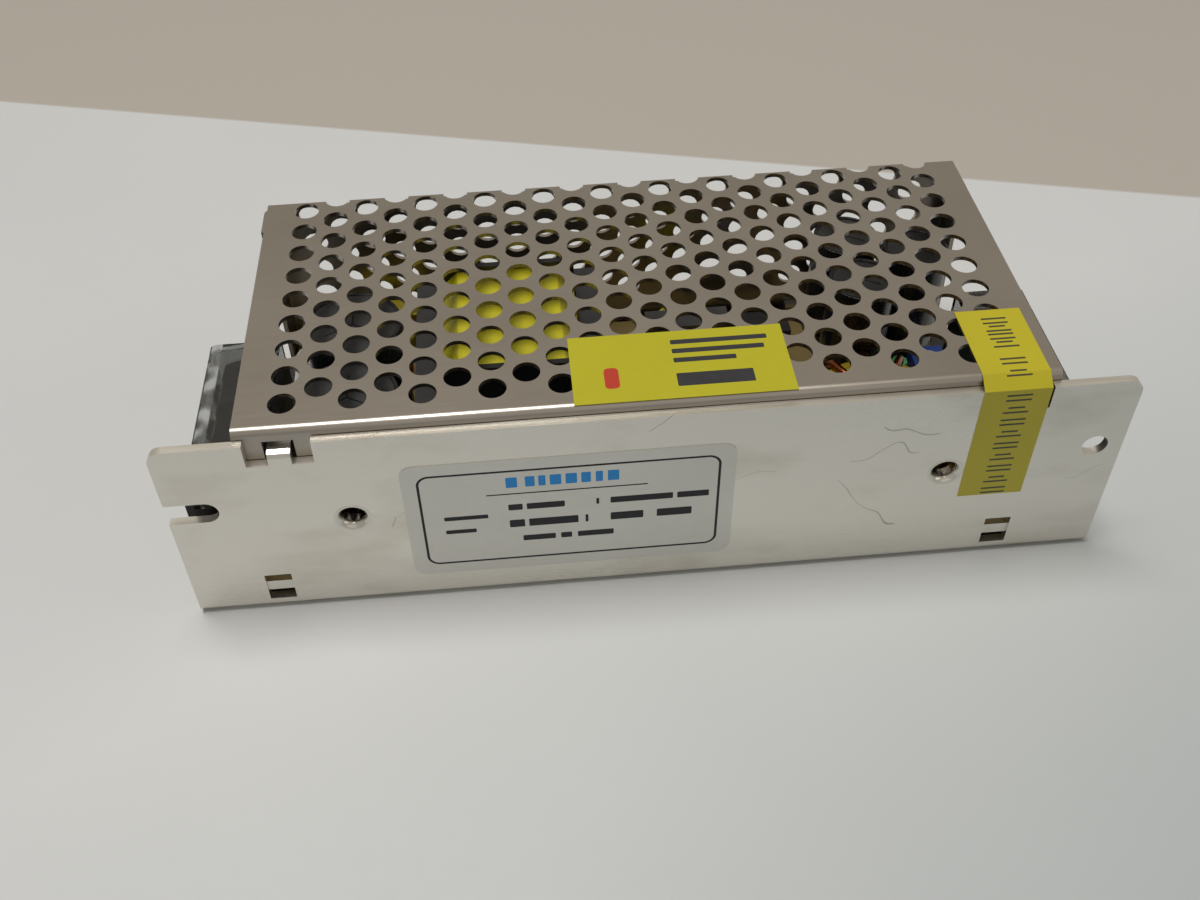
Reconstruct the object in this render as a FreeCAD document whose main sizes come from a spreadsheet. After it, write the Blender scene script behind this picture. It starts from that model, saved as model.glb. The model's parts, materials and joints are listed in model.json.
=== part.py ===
import FreeCAD, Part
import math
import os
import re

import Sketcher
from FreeCAD import Placement, Rotation, Vector

# Mesh case switching power supply, in millimetres, +Z up.
# The origin is the middle of the underside. The side wall with the ears faces -Y,
# the input terminals are at -X and the output terminals at +X.

doc = FreeCAD.newDocument("power_supply")
sheet = doc.addObject("Spreadsheet::Sheet", "sizes")

# Driving dimensions: name and value, in millimetres unless the name says count
SIZES = [
    # Case: folded aluminium chassis
    ("total_length", 160.0),
    ("total_depth", 63.0),
    ("wall_height", 41.2),
    ("wall_sheet", 1.5),
    ("wall_fold_radius", 0.4),
    ("ear_corner", 2.5),
    ("base_corner", 2.0),
    ("ear_fixing_height", 26.5),
    ("ear_slot_width", 4.5),
    ("ear_slot_depth", 8.6),
    ("ear_hole_width", 4.4),
    ("ear_hole_inset", 4.8),
    ("side_hole_spacing", 100.4),
    ("side_hole_height", 22.5),
    ("side_thread_width", 4.2),
    ("side_dish_width", 6.1),
    ("side_dish_depth", 0.9),
    ("side_burr_width", 6.2),
    ("side_burr_height", 1.2),
    ("notch_spacing", 119.2),
    ("notch_width", 10.8),
    ("notch_depth", 4.6),
    ("tongue_width", 3.7),
    ("tongue_bend", 1.1),
    ("tongue_reach", 1.6),
    ("lance_spacing", 127.2),
    ("lance_width", 4.6),
    ("lance_slit", 2.1),
    ("lance_push", 0.4),
    ("lance_bridge", 2.3),
    ("lug_spacing", 84.0),
    ("lug_width", 12.0),
    ("lug_height", 8.2),
    # Perforated steel cover
    ("cover_length", 133.2),
    ("cover_rise", 1.7),
    ("cover_sheet", 0.8),
    ("cover_fold_radius", 0.5),
    ("cover_gap", 0.1),
    ("cover_lift", 0.4),
    ("flange_drop", 9.5),
    ("flange_window_width", 5.0),
    ("flange_window_top", 2.4),
    ("flange_window_height", 6.4),
    ("tab_reach", 7.3),
    ("tab_overhang", 1.0),
    ("tab_top_gap", 1.6),
    ("tab_lift", 2.6),
    ("hole_pitch", 6.49),
    ("hole_width", 4.6),
    ("first_row_inset", 7.5),
    ("column_pair_count", 11.0),
    ("top_row_count", 9.0),
    ("side_row_count", 4.0),
    # Circuit board and what holds it
    ("board_shift", -1.5),
    ("board_height", 7.0),
    ("board_sheet", 1.6),
    ("board_gap", 0.2),
    ("board_half_length", 65.0),
    ("board_end_reach", 74.8),
    ("board_far_inset", 2.7),
    ("board_end_width", 32.2),
    ("film_sheet", 0.4),
    ("film_half_length", 70.0),
    ("pillar_spacing", 121.0),
    ("pillar_inset", 6.4),
    ("pillar_width", 5.5),
    ("pillar_spigot", 3.8),
    # M3 screws
    ("screw_shank", 3.0),
    ("screw_head", 5.8),
    ("screw_head_height", 2.0),
    ("thread_gap", 0.05),
    ("turning_room", 0.55),
    ("cover_screw_length", 5.0),
    ("board_screw_grip", 4.4),
    # Barrier terminal blocks
    ("terminal_pitch", 9.0),
    ("terminal_count", 3.0),
    ("fin_sheet", 1.6),
    ("block_reach", 61.0),
    ("block_depth", 15.5),
    ("ledge_height", 10.5),
    ("rear_wall_sheet", 4.4),
    ("rear_wall_height", 21.6),
    ("fin_height", 21.2),
    ("fin_reach", 12.2),
    ("fin_step_height", 15.7),
    ("fin_corner", 3.0),
    ("contact_sheet", 0.8),
    ("contact_width", 6.8),
    ("contact_length", 10.2),
    ("contact_leg_width", 2.4),
    ("contact_leg_length", 3.2),
    ("slot_gap", 0.2),
    ("clamp_sheet", 1.0),
    ("clamp_width", 6.2),
    ("terminal_screw_place", 9.3),
    ("terminal_screw_length", 6.0),
    # Clear flip-up covers over the terminals
    ("lid_sheet", 1.0),
    ("lid_reach", 13.7),
    ("lid_height", 24.9),
    ("lid_skirt", 8.9),
    ("lid_corner", 1.5),
    ("lid_gap", 0.15),
    ("lid_side_gap", 0.25),
    ("hinge_place", 2.6),
    ("hinge_height", 20.0),
    ("hinge_pin", 2.2),
    ("hinge_pin_length", 0.85),
    ("hinge_gap", 0.05),
    # Main transformer
    ("core_width", 35.0),
    ("core_length", 41.4),
    ("core_sheet", 11.4),
    ("core_window_length", 29.4),
    ("core_window_width", 25.6),
    ("core_post", 11.0),
    ("core_middle_height", 14.8),
    ("core_x", -22.0),
    ("core_y", 1.5),
    ("winding_width", 24.6),
    ("winding_length", 26.6),
    ("bobbin_flange_sheet", 1.2),
    ("bobbin_tube_sheet", 1.0),
    ("bobbin_foot_length", 7.0),
    # Small driver transformer
    ("driver_width", 16.0),
    ("driver_sheet", 5.0),
    ("driver_window", 12.0),
    ("driver_height", 14.0),
    ("driver_rim", 2.2),
    ("driver_post", 4.8),
    ("driver_lift", 1.2),
    ("driver_x", 12.0),
    ("driver_y", 11.5),
    # Electrolytic capacitors
    ("bulk_can_width", 17.6),
    ("bulk_can_height", 28.0),
    ("bulk_x", -50.0),
    ("bulk_y", -16.9),
    ("bulk_spacing", 18.6),
    ("output_can_width", 12.4),
    ("output_can_height", 24.4),
    ("output_can_x", 44.5),
    ("output_can_y", 8.5),
    ("output_can_spacing", 13.5),
    ("third_can_x", 57.0),
    ("third_can_y", 16.5),
    ("sleeve_rim", 0.6),
    # Other parts on the board
    ("film_cap_length", 13.0),
    ("film_cap_width", 5.0),
    ("film_cap_height", 11.0),
    ("film_cap_x", -52.5),
    ("film_cap_y", 22.8),
    ("disc_width", 7.4),
    ("disc_sheet", 3.0),
    ("disc_lead", 2.0),
    ("disc_x", 24.0),
    ("disc_y", 11.0),
    ("disc_spacing", 5.0),
    ("thermistor_x", -57.4),
    ("thermistor_y", 15.0),
    ("fuse_length", 19.0),
    ("fuse_width", 5.2),
    ("fuse_ferrule", 5.0),
    ("fuse_x", -63.2),
    ("fuse_y", 12.2),
    ("chip_length", 19.6),
    ("chip_width", 6.4),
    ("chip_height", 3.6),
    ("chip_x", 25.0),
    ("chip_y", 21.5),
    ("package_width", 10.0),
    ("package_body_height", 9.2),
    ("package_body_sheet", 3.1),
    ("package_tab_sheet", 1.3),
    ("package_tab_height", 15.6),
    ("package_lead", 4.0),
    ("lead_pitch", 2.54),
    ("lead_width", 0.8),
    ("package_hole", 3.7),
    ("package_hole_drop", 2.8),
    ("package_lead_reach", 2.4),
    ("transistor_1_x", -22.0),
    ("transistor_2_x", -8.0),
    ("rectifier_x", 7.0),
    ("pad_sheet", 0.3),
    ("bridge_width", 13.0),
    ("bridge_sheet", 3.5),
    ("bridge_height", 10.6),
    ("bridge_x", -35.0),
    ("bridge_y", -22.4),
    ("trimmer_width", 6.6),
    ("trimmer_height", 4.4),
    ("trimmer_recess", 1.6),
    ("trimmer_x", 60.0),
    ("trimmer_y", 6.6),
    ("rotor_width", 3.6),
    ("rotor_rise", 0.3),
    ("lamp_width", 3.0),
    ("lamp_height", 5.2),
    ("lamp_x", 53.6),
    ("lamp_y", 5.5),
    # Toroids
    ("output_ring_width", 26.0),
    ("output_ring_hole", 14.4),
    ("output_ring_height", 10.6),
    ("output_wire", 1.3),
    ("output_turn_count", 12.0),
    ("output_ring_x", 44.0),
    ("output_ring_y", -13.0),
    ("input_ring_width", 10.0),
    ("input_ring_hole", 5.4),
    ("input_ring_height", 5.0),
    ("input_wire", 0.6),
    ("input_turn_count", 8.0),
    ("input_ring_x", -48.0),
    ("input_ring_y", 16.7),
    ("ring_lift", 0.3),
    # Labels
    ("label_sheet", 0.1),
    ("plate_length", 55.4),
    ("plate_height", 27.8),
    ("plate_x", -13.8),
    ("plate_z", 20.0),
    ("plate_corner", 2.4),
    ("sticker_length", 36.0),
    ("sticker_width", 15.9),
    ("sticker_x", 5.5),
    ("sticker_inset", 2.0),
    ("strip_width", 11.2),
    ("strip_x", 59.0),
    ("strip_top_length", 15.4),
    ("strip_foot", 16.0),
]

for row, (alias, value) in enumerate(SIZES, start=1):
    sheet.set("A%d" % row, alias)
    sheet.set("B%d" % row, str(value))
    sheet.setAlias("B%d" % row, alias)
doc.recompute()

ALIAS = re.compile(r"\b(%s)\b" % "|".join(name for name, value in SIZES))
parts = {}


def bound(text):
    """The expression with each alias pointed at the sheet."""
    return ALIAS.sub(r"sizes.\1", str(text))


def num(text):
    """The present value of an expression."""
    return float(sheet.evalExpression(bound(text)))


def keep(label, item):
    """Name a finished sub-part."""
    item.Label = label
    parts[label] = item
    return item


def place(item, x=0, y=0, z=0, turn=0):
    """Bind an object's place to the sheet, turned about Z by whole degrees."""
    item.Placement = Placement(Vector(num(x), num(y), num(z)), Rotation(Vector(0, 0, 1), turn))
    for axis, text in (("x", x), ("y", y), ("z", z)):
        item.setExpression("Placement.Base." + axis, bound(text))
    return item


# Sketches and PartDesign features

def origin_feature(body, role):
    return next(item for item in body.Origin.OriginFeatures if item.Role == role)


def new_body(name):
    return doc.addObject("PartDesign::Body", name)


def new_sketch(body, plane, offset):
    """A sketch on an origin plane of the body, moved along the plane's normal."""
    sketch = body.newObject("Sketcher::SketchObject", body.Name + "_sketch")
    sketch.AttachmentSupport = (origin_feature(body, plane + "_Plane"), [""])
    sketch.MapMode = "FlatFace"
    sketch.AttachmentOffset = Placement(Vector(0, 0, num(offset)), Rotation())
    sketch.setExpression("AttachmentOffset.Base.z", bound(offset))
    return sketch


def bind(sketch, kind, *rest):
    """Add one dimension whose last argument is an expression."""
    *links, text = rest
    index = sketch.addConstraint(Sketcher.Constraint(kind, *links, num(text)))
    sketch.setExpression("Constraints[%d]" % index, bound(text))


def pin_point(sketch, item, end, x, y):
    bind(sketch, "DistanceX", -1, 1, item, end, x)
    bind(sketch, "DistanceY", -1, 1, item, end, y)


def draw_outline(sketch, corners):
    """A closed outline. A corner is (x, y) or (x, y, radius), all expressions."""
    spots = [Vector(num(corner[0]), num(corner[1]), 0) for corner in corners]
    count = len(corners)
    starts, ends = [], []
    for here, corner in enumerate(corners):
        before = (spots[here - 1] - spots[here]).normalize()
        after = (spots[(here + 1) % count] - spots[here]).normalize()
        ends.append(along(corner, before, before.getAngle(after)))
        starts.append(along(corner, after, before.getAngle(after)))
    lines = []
    for here in range(count):
        start, end = starts[here], ends[(here + 1) % count]
        line = sketch.addGeometry(Part.LineSegment(spot_of(start), spot_of(end)))
        pin_point(sketch, line, 1, *start)
        lines.append(line)
    for here, corner in enumerate(corners):
        line_in, line_out = lines[here - 1], lines[here]
        if len(corner) == 2:
            sketch.addConstraint(Sketcher.Constraint("Coincident", line_in, 2, line_out, 1))
            continue
        pin_point(sketch, line_in, 2, *ends[here])
        round_corner(sketch, spots[here], spot_of(ends[here]), spot_of(starts[here]), corner[2],
                     line_in, line_out)


def along(corner, direction, angle):
    """Where a corner's rounding meets the edge that leaves in a direction."""
    if len(corner) == 2:
        return corner
    share = 1 / math.tan(angle / 2)
    shifts = (direction.x * share, direction.y * share)
    return tuple(
        text if abs(shift) < 1e-9 else "%s + (%s) * %.6f" % (text, corner[2], shift)
        for text, shift in zip(corner, shifts)
    )


def spot_of(pair):
    return Vector(num(pair[0]), num(pair[1]), 0)


def round_corner(sketch, spot, end, start, radius, line_in, line_out):
    """An arc, drawn anticlockwise, from the end of one line to the start of the next."""
    inward = ((end + start) * 0.5 - spot).normalize()
    reach = math.hypot(num(radius), (end - spot).Length)
    middle = spot + inward * (reach - num(radius))
    left_turn = (spot - end).cross(start - spot).z > 0
    first, last = (end, start) if left_turn else (start, end)
    arc = sketch.addGeometry(Part.Arc(first, middle, last))
    sketch.addConstraint(Sketcher.Constraint("Coincident", line_in, 2, arc, 1 if left_turn else 2))
    sketch.addConstraint(Sketcher.Constraint("Coincident", line_out, 1, arc, 2 if left_turn else 1))
    bind(sketch, "Radius", arc, radius)


def draw_circle(sketch, x, y, radius):
    centre = Vector(num(x), num(y), 0)
    ring = sketch.addGeometry(Part.Circle(centre, Vector(0, 0, 1), num(radius)))
    bind(sketch, "Radius", ring, radius)
    pin_point(sketch, ring, 3, x, y)


def rectangle(x_low, y_low, x_high, y_high, radius=None):
    corners = [(x_low, y_low), (x_high, y_low), (x_high, y_high), (x_low, y_high)]
    return corners if radius is None else [corner + (radius,) for corner in corners]


def regular(x, y, width, flats):
    """A regular outline with the area of a circle of the given width."""
    radius = "(%s) / 2 * %.6f" % (width, math.sqrt(2 * math.pi / flats / math.sin(2 * math.pi / flats)))
    turns = [math.radians((index + 0.5) * 360.0 / flats) for index in range(flats)]
    return [
        ("%s + %s * %.6f" % (x, radius, math.cos(turn)), "%s + %s * %.6f" % (y, radius, math.sin(turn)))
        for turn in turns
    ]


def sketch_of(body, plane, offset, outlines=(), circles=()):
    sketch = new_sketch(body, plane, offset)
    for outline in outlines:
        draw_outline(sketch, outline)
    for circle in circles:
        draw_circle(sketch, *circle)
    return sketch


def pad(body, plane, offset, length, outlines=(), circles=(), midplane=False, back=False):
    """Raise outlines from a plane. back raises them against its normal."""
    feature = body.newObject("PartDesign::Pad", body.Name + "_pad")
    feature.Profile = sketch_of(body, plane, offset, outlines, circles)
    feature.Length = num(length)
    feature.setExpression("Length", bound(length))
    feature.Midplane = midplane
    feature.Reversed = back
    body.Tip = feature
    return feature


def pocket(body, plane, offset, length, outlines=(), circles=(), back=False, refine=True):
    """Cut outlines against a plane's normal. back cuts them along it."""
    doc.recompute()
    before = body.Shape.Volume
    feature = body.newObject("PartDesign::Pocket", body.Name + "_pocket")
    feature.Profile = sketch_of(body, plane, offset, outlines, circles)
    feature.Length = num(length)
    feature.setExpression("Length", bound(length))
    feature.Reversed = back
    feature.Refine = refine
    body.Tip = feature
    doc.recompute()
    if body.Shape.Volume >= before - 1e-6:
        raise RuntimeError("a pocket of %s cuts nothing" % body.Name)
    return feature



def spread(body, feature, axis, step, count, axis2=None, step2=None, count2=None):
    """Repeat a feature along one or two axes of its body."""
    pattern = body.newObject("PartDesign::LinearPattern", body.Name + "_pattern")
    pattern.Originals = [feature]
    pattern.Refine = False
    pattern.Direction = (origin_feature(body, axis + "_Axis"), [""])
    pattern.Mode = "Spacing"
    pattern.Offset = num(step)
    pattern.setExpression("Offset", bound(step))
    pattern.Occurrences = round(num(count))
    pattern.setExpression("Occurrences", bound(count))
    if axis2:
        pattern.Direction2 = (origin_feature(body, axis2 + "_Axis"), [""])
        pattern.Mode2 = "Spacing"
        pattern.Offset2 = num(step2)
        pattern.setExpression("Offset2", bound(step2))
        pattern.Occurrences2 = round(num(count2))
        pattern.setExpression("Occurrences2", bound(count2))
    body.Tip = pattern
    return pattern


def edges_where(body, test):
    """Names of the edges whose middle and direction pass a test."""
    doc.recompute()
    names = []
    for index, edge in enumerate(body.Shape.Edges, start=1):
        middle = edge.CenterOfMass
        run = edge.Vertexes[-1].Point - edge.Vertexes[0].Point
        if test(middle, run):
            names.append("Edge%d" % index)
    return names


def fillet(body, test, radius):
    tip = body.Tip
    names = edges_where(body, test)
    feature = body.newObject("PartDesign::Fillet", body.Name + "_fillet")
    feature.Base = (tip, names)
    feature.Radius = num(radius)
    feature.setExpression("Radius", bound(radius))
    body.Tip = feature
    return feature


# Part primitives

def box(name, length, width, height, x, y, z):
    item = doc.addObject("Part::Box", name)
    for field, text in (("Length", length), ("Width", width), ("Height", height)):
        setattr(item, field, num(text))
        item.setExpression(field, bound(text))
    return place(item, x, y, z)





def group(name, members):
    """Like pieces that share one node, each its own solid."""
    item = doc.addObject("Part::Compound", name)
    item.Links = members
    return item



# Places that several pieces share
HALF_LENGTH = "total_length / 2"
WALL_FACE = "(-total_depth / 2)"
WALL_BACK = "(-total_depth / 2 + wall_sheet)"
COVER_TOP = "(wall_height + cover_rise)"
COVER_NEAR = "(-total_depth / 2 + wall_sheet + cover_gap)"
COVER_FAR = "(total_depth / 2)"
COVER_INNER = "(total_depth / 2 - cover_sheet)"
LUG_FACE = "(total_depth / 2 - cover_sheet - cover_gap)"
BOARD_TOP = "(board_height + board_sheet)"
BOARD_NEAR = "(-total_depth / 2 + wall_sheet + board_gap)"
BOARD_FAR = "(total_depth / 2 - board_far_inset)"
BLOCK_HALF = "((terminal_pitch * terminal_count + fin_sheet) / 2)"
LID_HALF = "(%s + lid_gap + lid_sheet)" % BLOCK_HALF
BLOCK_MIDDLE = "(-total_depth / 2 + wall_sheet + cover_gap + cover_sheet + lid_side_gap + %s)" % LID_HALF
CONTACT_TOP = "(ledge_height + contact_sheet)"
CLAMP_TOP = "(ledge_height + contact_sheet + clamp_sheet)"
SCREW_RADIUS = "screw_shank / 2"
THREAD_WIDTH = "(screw_shank + 4 * thread_gap)"
PILLAR_PLACE = "(total_depth / 2 - pillar_inset)"
COVER_SCREW_HEIGHT = "(wall_sheet + lug_height / 2 - 0.8)"
TERMINAL_PLACES = [
    "(terminal_pitch * (%d - (terminal_count - 1) / 2))" % index
    for index in range(round(num("terminal_count")))
]
PACKAGE_TAB_BACK = "(-total_depth / 2 + wall_sheet + pad_sheet)"
PACKAGE_FOOT = "(board_height + board_sheet + package_lead)"
PACKAGE_HOLE_HEIGHT = "(%s + package_tab_height - package_hole_drop)" % PACKAGE_FOOT
LEAD_PLACE = "(%s + package_lead_reach)" % PACKAGE_TAB_BACK
PACKAGE_LEADS = ("-lead_pitch", "0", "lead_pitch")
PACKAGE_PLACES = {
    "power_transistor_1": "transistor_1_x",
    "power_transistor_2": "transistor_2_x",
    "output_rectifier": "rectifier_x",
}


# Folded aluminium chassis: side wall with ears, base plate and two far lugs
def make_chassis():
    body = new_body("chassis")
    fold_outer = "(wall_fold_radius + wall_sheet)"
    pad(body, "YZ", 0, "total_length", [[
        (WALL_FACE, 0, fold_outer),
        (LUG_FACE, 0),
        (LUG_FACE, "wall_sheet"),
        (WALL_BACK, "wall_sheet", "wall_fold_radius"),
        (WALL_BACK, "wall_height"),
        (WALL_FACE, "wall_height"),
    ]], midplane=True)
    lug_edge = "(lug_spacing / 2 - lug_width / 2)"
    lug_end = "(lug_spacing / 2 + lug_width / 2)"
    lug_back = "(%s - wall_sheet)" % LUG_FACE
    pad(body, "XY", 0, "wall_sheet + lug_height", [
        rectangle("-" + lug_end, lug_back, "-" + lug_edge, LUG_FACE),
        rectangle(lug_edge, lug_back, lug_end, LUG_FACE),
    ])
    outside = "(total_depth / 2 + wall_sheet)"
    through = "3 * wall_sheet"
    half = HALF_LENGTH
    slot_low = "(ear_fixing_height - ear_slot_width / 2)"
    slot_high = "(ear_fixing_height + ear_slot_width / 2)"
    slot_tip = "(ear_slot_depth - %s)" % half
    slot_round = "ear_slot_width / 2 * 0.999"
    pocket(body, "XZ", outside, through, [[
        ("-%s - wall_sheet" % half, slot_low),
        (slot_tip, slot_low, slot_round),
        (slot_tip, slot_high, slot_round),
        ("-%s - wall_sheet" % half, slot_high),
    ]], [("%s - ear_hole_inset" % half, "ear_fixing_height", "ear_hole_width / 2")])
    notch_low = "(wall_height - notch_depth)"
    notch_high = "(wall_height + wall_sheet)"
    for side in ("-", ""):
        middle = "(%snotch_spacing / 2)" % side
        pocket(body, "XZ", outside, through, [rectangle(
            middle + " - notch_width / 2", notch_low, middle + " + notch_width / 2", notch_high)])
    bridge_low = "(board_height - lance_bridge)"
    slit_low = "(board_height - lance_bridge - lance_slit)"
    for side in ("-", ""):
        middle = "(board_shift %s lance_spacing / 2)" % (side or "+")
        left, right = middle + " - lance_width / 2", middle + " + lance_width / 2"
        pocket(body, "XZ", outside, through, [
            rectangle(left, slit_low, right, bridge_low),
            rectangle(left, "board_height", right, "board_height + lance_slit"),
        ])
        pad(body, "XZ", "-" + WALL_BACK, "lance_push",
            [rectangle(left, bridge_low, right, "board_height")], back=True)
        pocket(body, "XZ", "-" + WALL_FACE, "lance_push",
               [rectangle(left, bridge_low, right, "board_height")])
    dished = [("%sside_hole_spacing / 2" % side, "side_hole_height") for side in ("-", "")]
    pad(body, "XZ", "-" + WALL_BACK, "side_burr_height",
        [regular(x, z, "side_burr_width", 12) for x, z in dished], back=True)
    taps = [regular(x, PACKAGE_HOLE_HEIGHT, THREAD_WIDTH, 6) for x in PACKAGE_PLACES.values()]
    pocket(body, "XZ", outside, "2 * wall_sheet + side_burr_height + 0.2",
           circles=[spot + ("side_thread_width / 2",) for spot in dished])
    pocket(body, "XZ", outside, through, taps)
    dish = pocket(body, "XZ", "-" + WALL_FACE, "side_dish_depth",
                  [regular(x, z, "side_dish_width", 12) for x, z in dished])
    dish.TaperAngle = -40
    pocket(body, "XZ", "-%s - wall_sheet" % COVER_FAR, through + " + cover_sheet",
           at_lugs(THREAD_WIDTH), back=True)
    pocket(body, "XY", "wall_sheet", "wall_sheet + 1", at_pillars("pillar_spigot + 0.1", 6))
    for side in ("-", ""):
        add_tongue(body, "(%snotch_spacing / 2)" % side)
    length, height = num("total_length"), num("wall_height")
    far = num(LUG_FACE)

    def ear_edge(middle, run):
        across = abs(run.y) > 0.9 * run.Length
        return across and abs(abs(middle.x) - length / 2) < 0.01 and abs(middle.z - height) < 0.01

    def base_edge(middle, run):
        upright = abs(run.z) > 0.9 * run.Length
        return upright and abs(abs(middle.x) - length / 2) < 0.01 and abs(middle.y - far) < 0.01

    fillet(body, ear_edge, "ear_corner")
    fillet(body, base_edge, "base_corner")
    return keep("chassis", body)


def at_lugs(width):
    return [regular("%slug_spacing / 2" % side, COVER_SCREW_HEIGHT, width, 6) for side in ("-", "")]


def add_tongue(body, middle):
    """A tongue of the wall, bent inward through the cover's flange."""
    root = "(wall_height - notch_depth)"
    under = "(wall_height - notch_depth + tongue_bend)"
    over = "(wall_height - notch_depth + tongue_bend + wall_sheet)"
    tip = "(%s + tongue_bend + tongue_reach)" % WALL_BACK
    feature = pad(body, "YZ", middle, "tongue_width", [[
        (WALL_FACE, root + " - 0.5"),
        (WALL_BACK, root + " - 0.5"),
        (WALL_BACK, under + " - 0.5 * tongue_bend"),
        (WALL_BACK + " + 0.5 * tongue_bend", under),
        (tip, under),
        (tip, over),
        (WALL_FACE + " + tongue_bend", over),
        (WALL_FACE + " + 0.3 * tongue_bend", over + " - 0.3 * tongue_bend"),
        (WALL_FACE, over + " - tongue_bend"),
    ]], midplane=True)
    return feature


# Perforated steel cover: near flange, top, far side and two end tabs
def make_cover():
    body = new_body("mesh_cover")
    outer = "(cover_fold_radius + cover_sheet)"
    flange_foot = "(%s - flange_drop)" % COVER_TOP
    top_under = "(%s - cover_sheet)" % COVER_TOP
    near_inner = "(%s + cover_sheet)" % COVER_NEAR
    pad(body, "YZ", 0, "cover_length", [[
        (COVER_NEAR, flange_foot),
        (near_inner, flange_foot),
        (near_inner, top_under, "cover_fold_radius"),
        ("%s - cover_fold_radius" % COVER_INNER, top_under),
        (COVER_INNER, "%s - cover_fold_radius" % top_under),
        (COVER_INNER, "cover_lift"),
        (COVER_FAR, "cover_lift"),
        (COVER_FAR, "%s - %s" % (COVER_TOP, outer)),
        ("%s - 0.3 * %s" % (COVER_FAR, outer), "%s - 0.3 * %s" % (COVER_TOP, outer)),
        ("%s - %s" % (COVER_FAR, outer), COVER_TOP),
        (COVER_NEAR, COVER_TOP, outer),
    ]], midplane=True)
    tab_height = "(%s - tab_top_gap - tab_lift)" % COVER_TOP
    for side in ("-", ""):
        face = "%s(cover_length / 2 + tab_overhang)" % side
        back = "%s(cover_length / 2 + tab_overhang - cover_sheet)" % side
        root = "%s(cover_length / 2 - 1)" % side
        pad(body, "XY", "tab_lift", tab_height, [[
            (root, COVER_FAR),
            (face, COVER_FAR, outer),
            (face, "%s - tab_reach" % COVER_FAR),
            (back, "%s - tab_reach" % COVER_FAR),
            (back, COVER_INNER, "cover_fold_radius"),
            (root, COVER_INNER),
        ]])
    window_top = "(%s - flange_window_top)" % COVER_TOP
    window_low = "(%s - flange_window_top - flange_window_height)" % COVER_TOP
    for side in ("-", ""):
        middle = "(%snotch_spacing / 2)" % side
        pocket(body, "XZ", "-%s + cover_sheet" % COVER_NEAR, "3 * cover_sheet", [rectangle(
            middle + " - flange_window_width / 2", window_low,
            middle + " + flange_window_width / 2", window_top)])
    pocket(body, "XZ", "-" + COVER_FAR, "cover_sheet", at_lugs("screw_head + 0.4"), back=True)
    perforate(body)
    return keep("mesh_cover", body)


def perforate(body):
    """Staggered holes over the top, the far fold and the far side."""
    column = "(hole_pitch * %.6f)" % (math.sqrt(3) / 2)
    first = "(-(2 * column_pair_count - 1) / 2 * %s)" % column
    second = "(%s + %s)" % (first, column)
    pair_step = "(2 * %s)" % column
    row_start = "(-total_depth / 2 + first_row_inset)"
    above = "(%s + cover_sheet)" % COVER_TOP
    behind = "(-%s - cover_sheet)" % COVER_FAR
    depth = "(hole_width / 2 + cover_sheet)"
    side_first = "(%s - (side_row_count - 0.5) * hole_pitch)" % COVER_TOP
    side_second = "(%s - side_row_count * hole_pitch)" % COVER_TOP
    pairs = "column_pair_count"
    side_holes = [regular(first, side_first, "hole_width", 4),
                  regular(second, side_second, "hole_width", 4)]
    feature = pocket(body, "XZ", behind, "3 * cover_sheet", side_holes, back=True, refine=False)
    spread(body, feature, "X", pair_step, pairs, "Z", "hole_pitch", "side_row_count")
    last_row = "(%s + (top_row_count - 1) * hole_pitch)" % row_start
    top_holes = [regular(first, row_start, "hole_width", 6),
                 regular(second, row_start + " + hole_pitch / 2", "hole_width", 6)]
    feature = pocket(body, "XY", above, depth, top_holes, refine=False)
    spread(body, feature, "X", pair_step, pairs, "Y", "hole_pitch", "top_row_count - 1")
    end_holes = [regular(first, last_row, "hole_width", 6),
                 regular(second, last_row + " + hole_pitch / 2", "hole_width", 6)]
    feature = pocket(body, "XY", above, depth, end_holes, refine=False)
    spread(body, feature, "X", pair_step, pairs)


# Sheets, board and what holds them
def make_film():
    body = new_body("insulation_sheet")
    near = "(%s + wall_fold_radius)" % BOARD_NEAR
    outline = rectangle("-film_half_length", near, "film_half_length", "%s - board_gap" % BOARD_FAR)
    pad(body, "XY", "wall_sheet", "film_sheet", [outline] + at_pillars("pillar_width + 0.4", 6))
    return keep("insulation_sheet", body)


def at_pillars(width, flats):
    return [regular("%spillar_spacing / 2" % side, PILLAR_PLACE, width, flats) for side in ("-", "")]


def make_board():
    body = new_body("circuit_board")
    near_end = "(%s + board_end_width)" % BOARD_NEAR
    outline = [
        ("board_shift - board_end_reach", BOARD_NEAR),
        ("board_shift + board_end_reach", BOARD_NEAR),
        ("board_shift + board_end_reach", near_end),
        ("board_shift + board_half_length", near_end),
        ("board_shift + board_half_length", BOARD_FAR),
        ("board_shift - board_half_length", BOARD_FAR),
        ("board_shift - board_half_length", near_end),
        ("board_shift - board_end_reach", near_end),
    ]
    pad(body, "XY", "board_height", "board_sheet", [outline] + at_pillars(THREAD_WIDTH, 6))
    slots = []
    for side in ("-", "+"):
        leg = "(board_shift %s (block_reach + rear_wall_sheet + slot_gap + contact_sheet / 2))" % side
        for place_y in TERMINAL_PLACES:
            slots.append(around(leg, "%s + %s" % (BLOCK_MIDDLE, place_y),
                                "contact_sheet + slot_gap", "contact_leg_width + slot_gap"))
    for x in PACKAGE_PLACES.values():
        slots.append(around(x, LEAD_PLACE, "2 * lead_pitch + lead_width + slot_gap",
                            "lead_width + slot_gap"))
    pocket(body, "XY", BOARD_TOP, "2 * board_sheet", slots)
    return keep("circuit_board", body)


def around(x, y, length, width):
    """A rectangle by its middle and size."""
    return rectangle("%s - (%s) / 2" % (x, length), "%s - (%s) / 2" % (y, width),
                     "%s + (%s) / 2" % (x, length), "%s + (%s) / 2" % (y, width))


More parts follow.
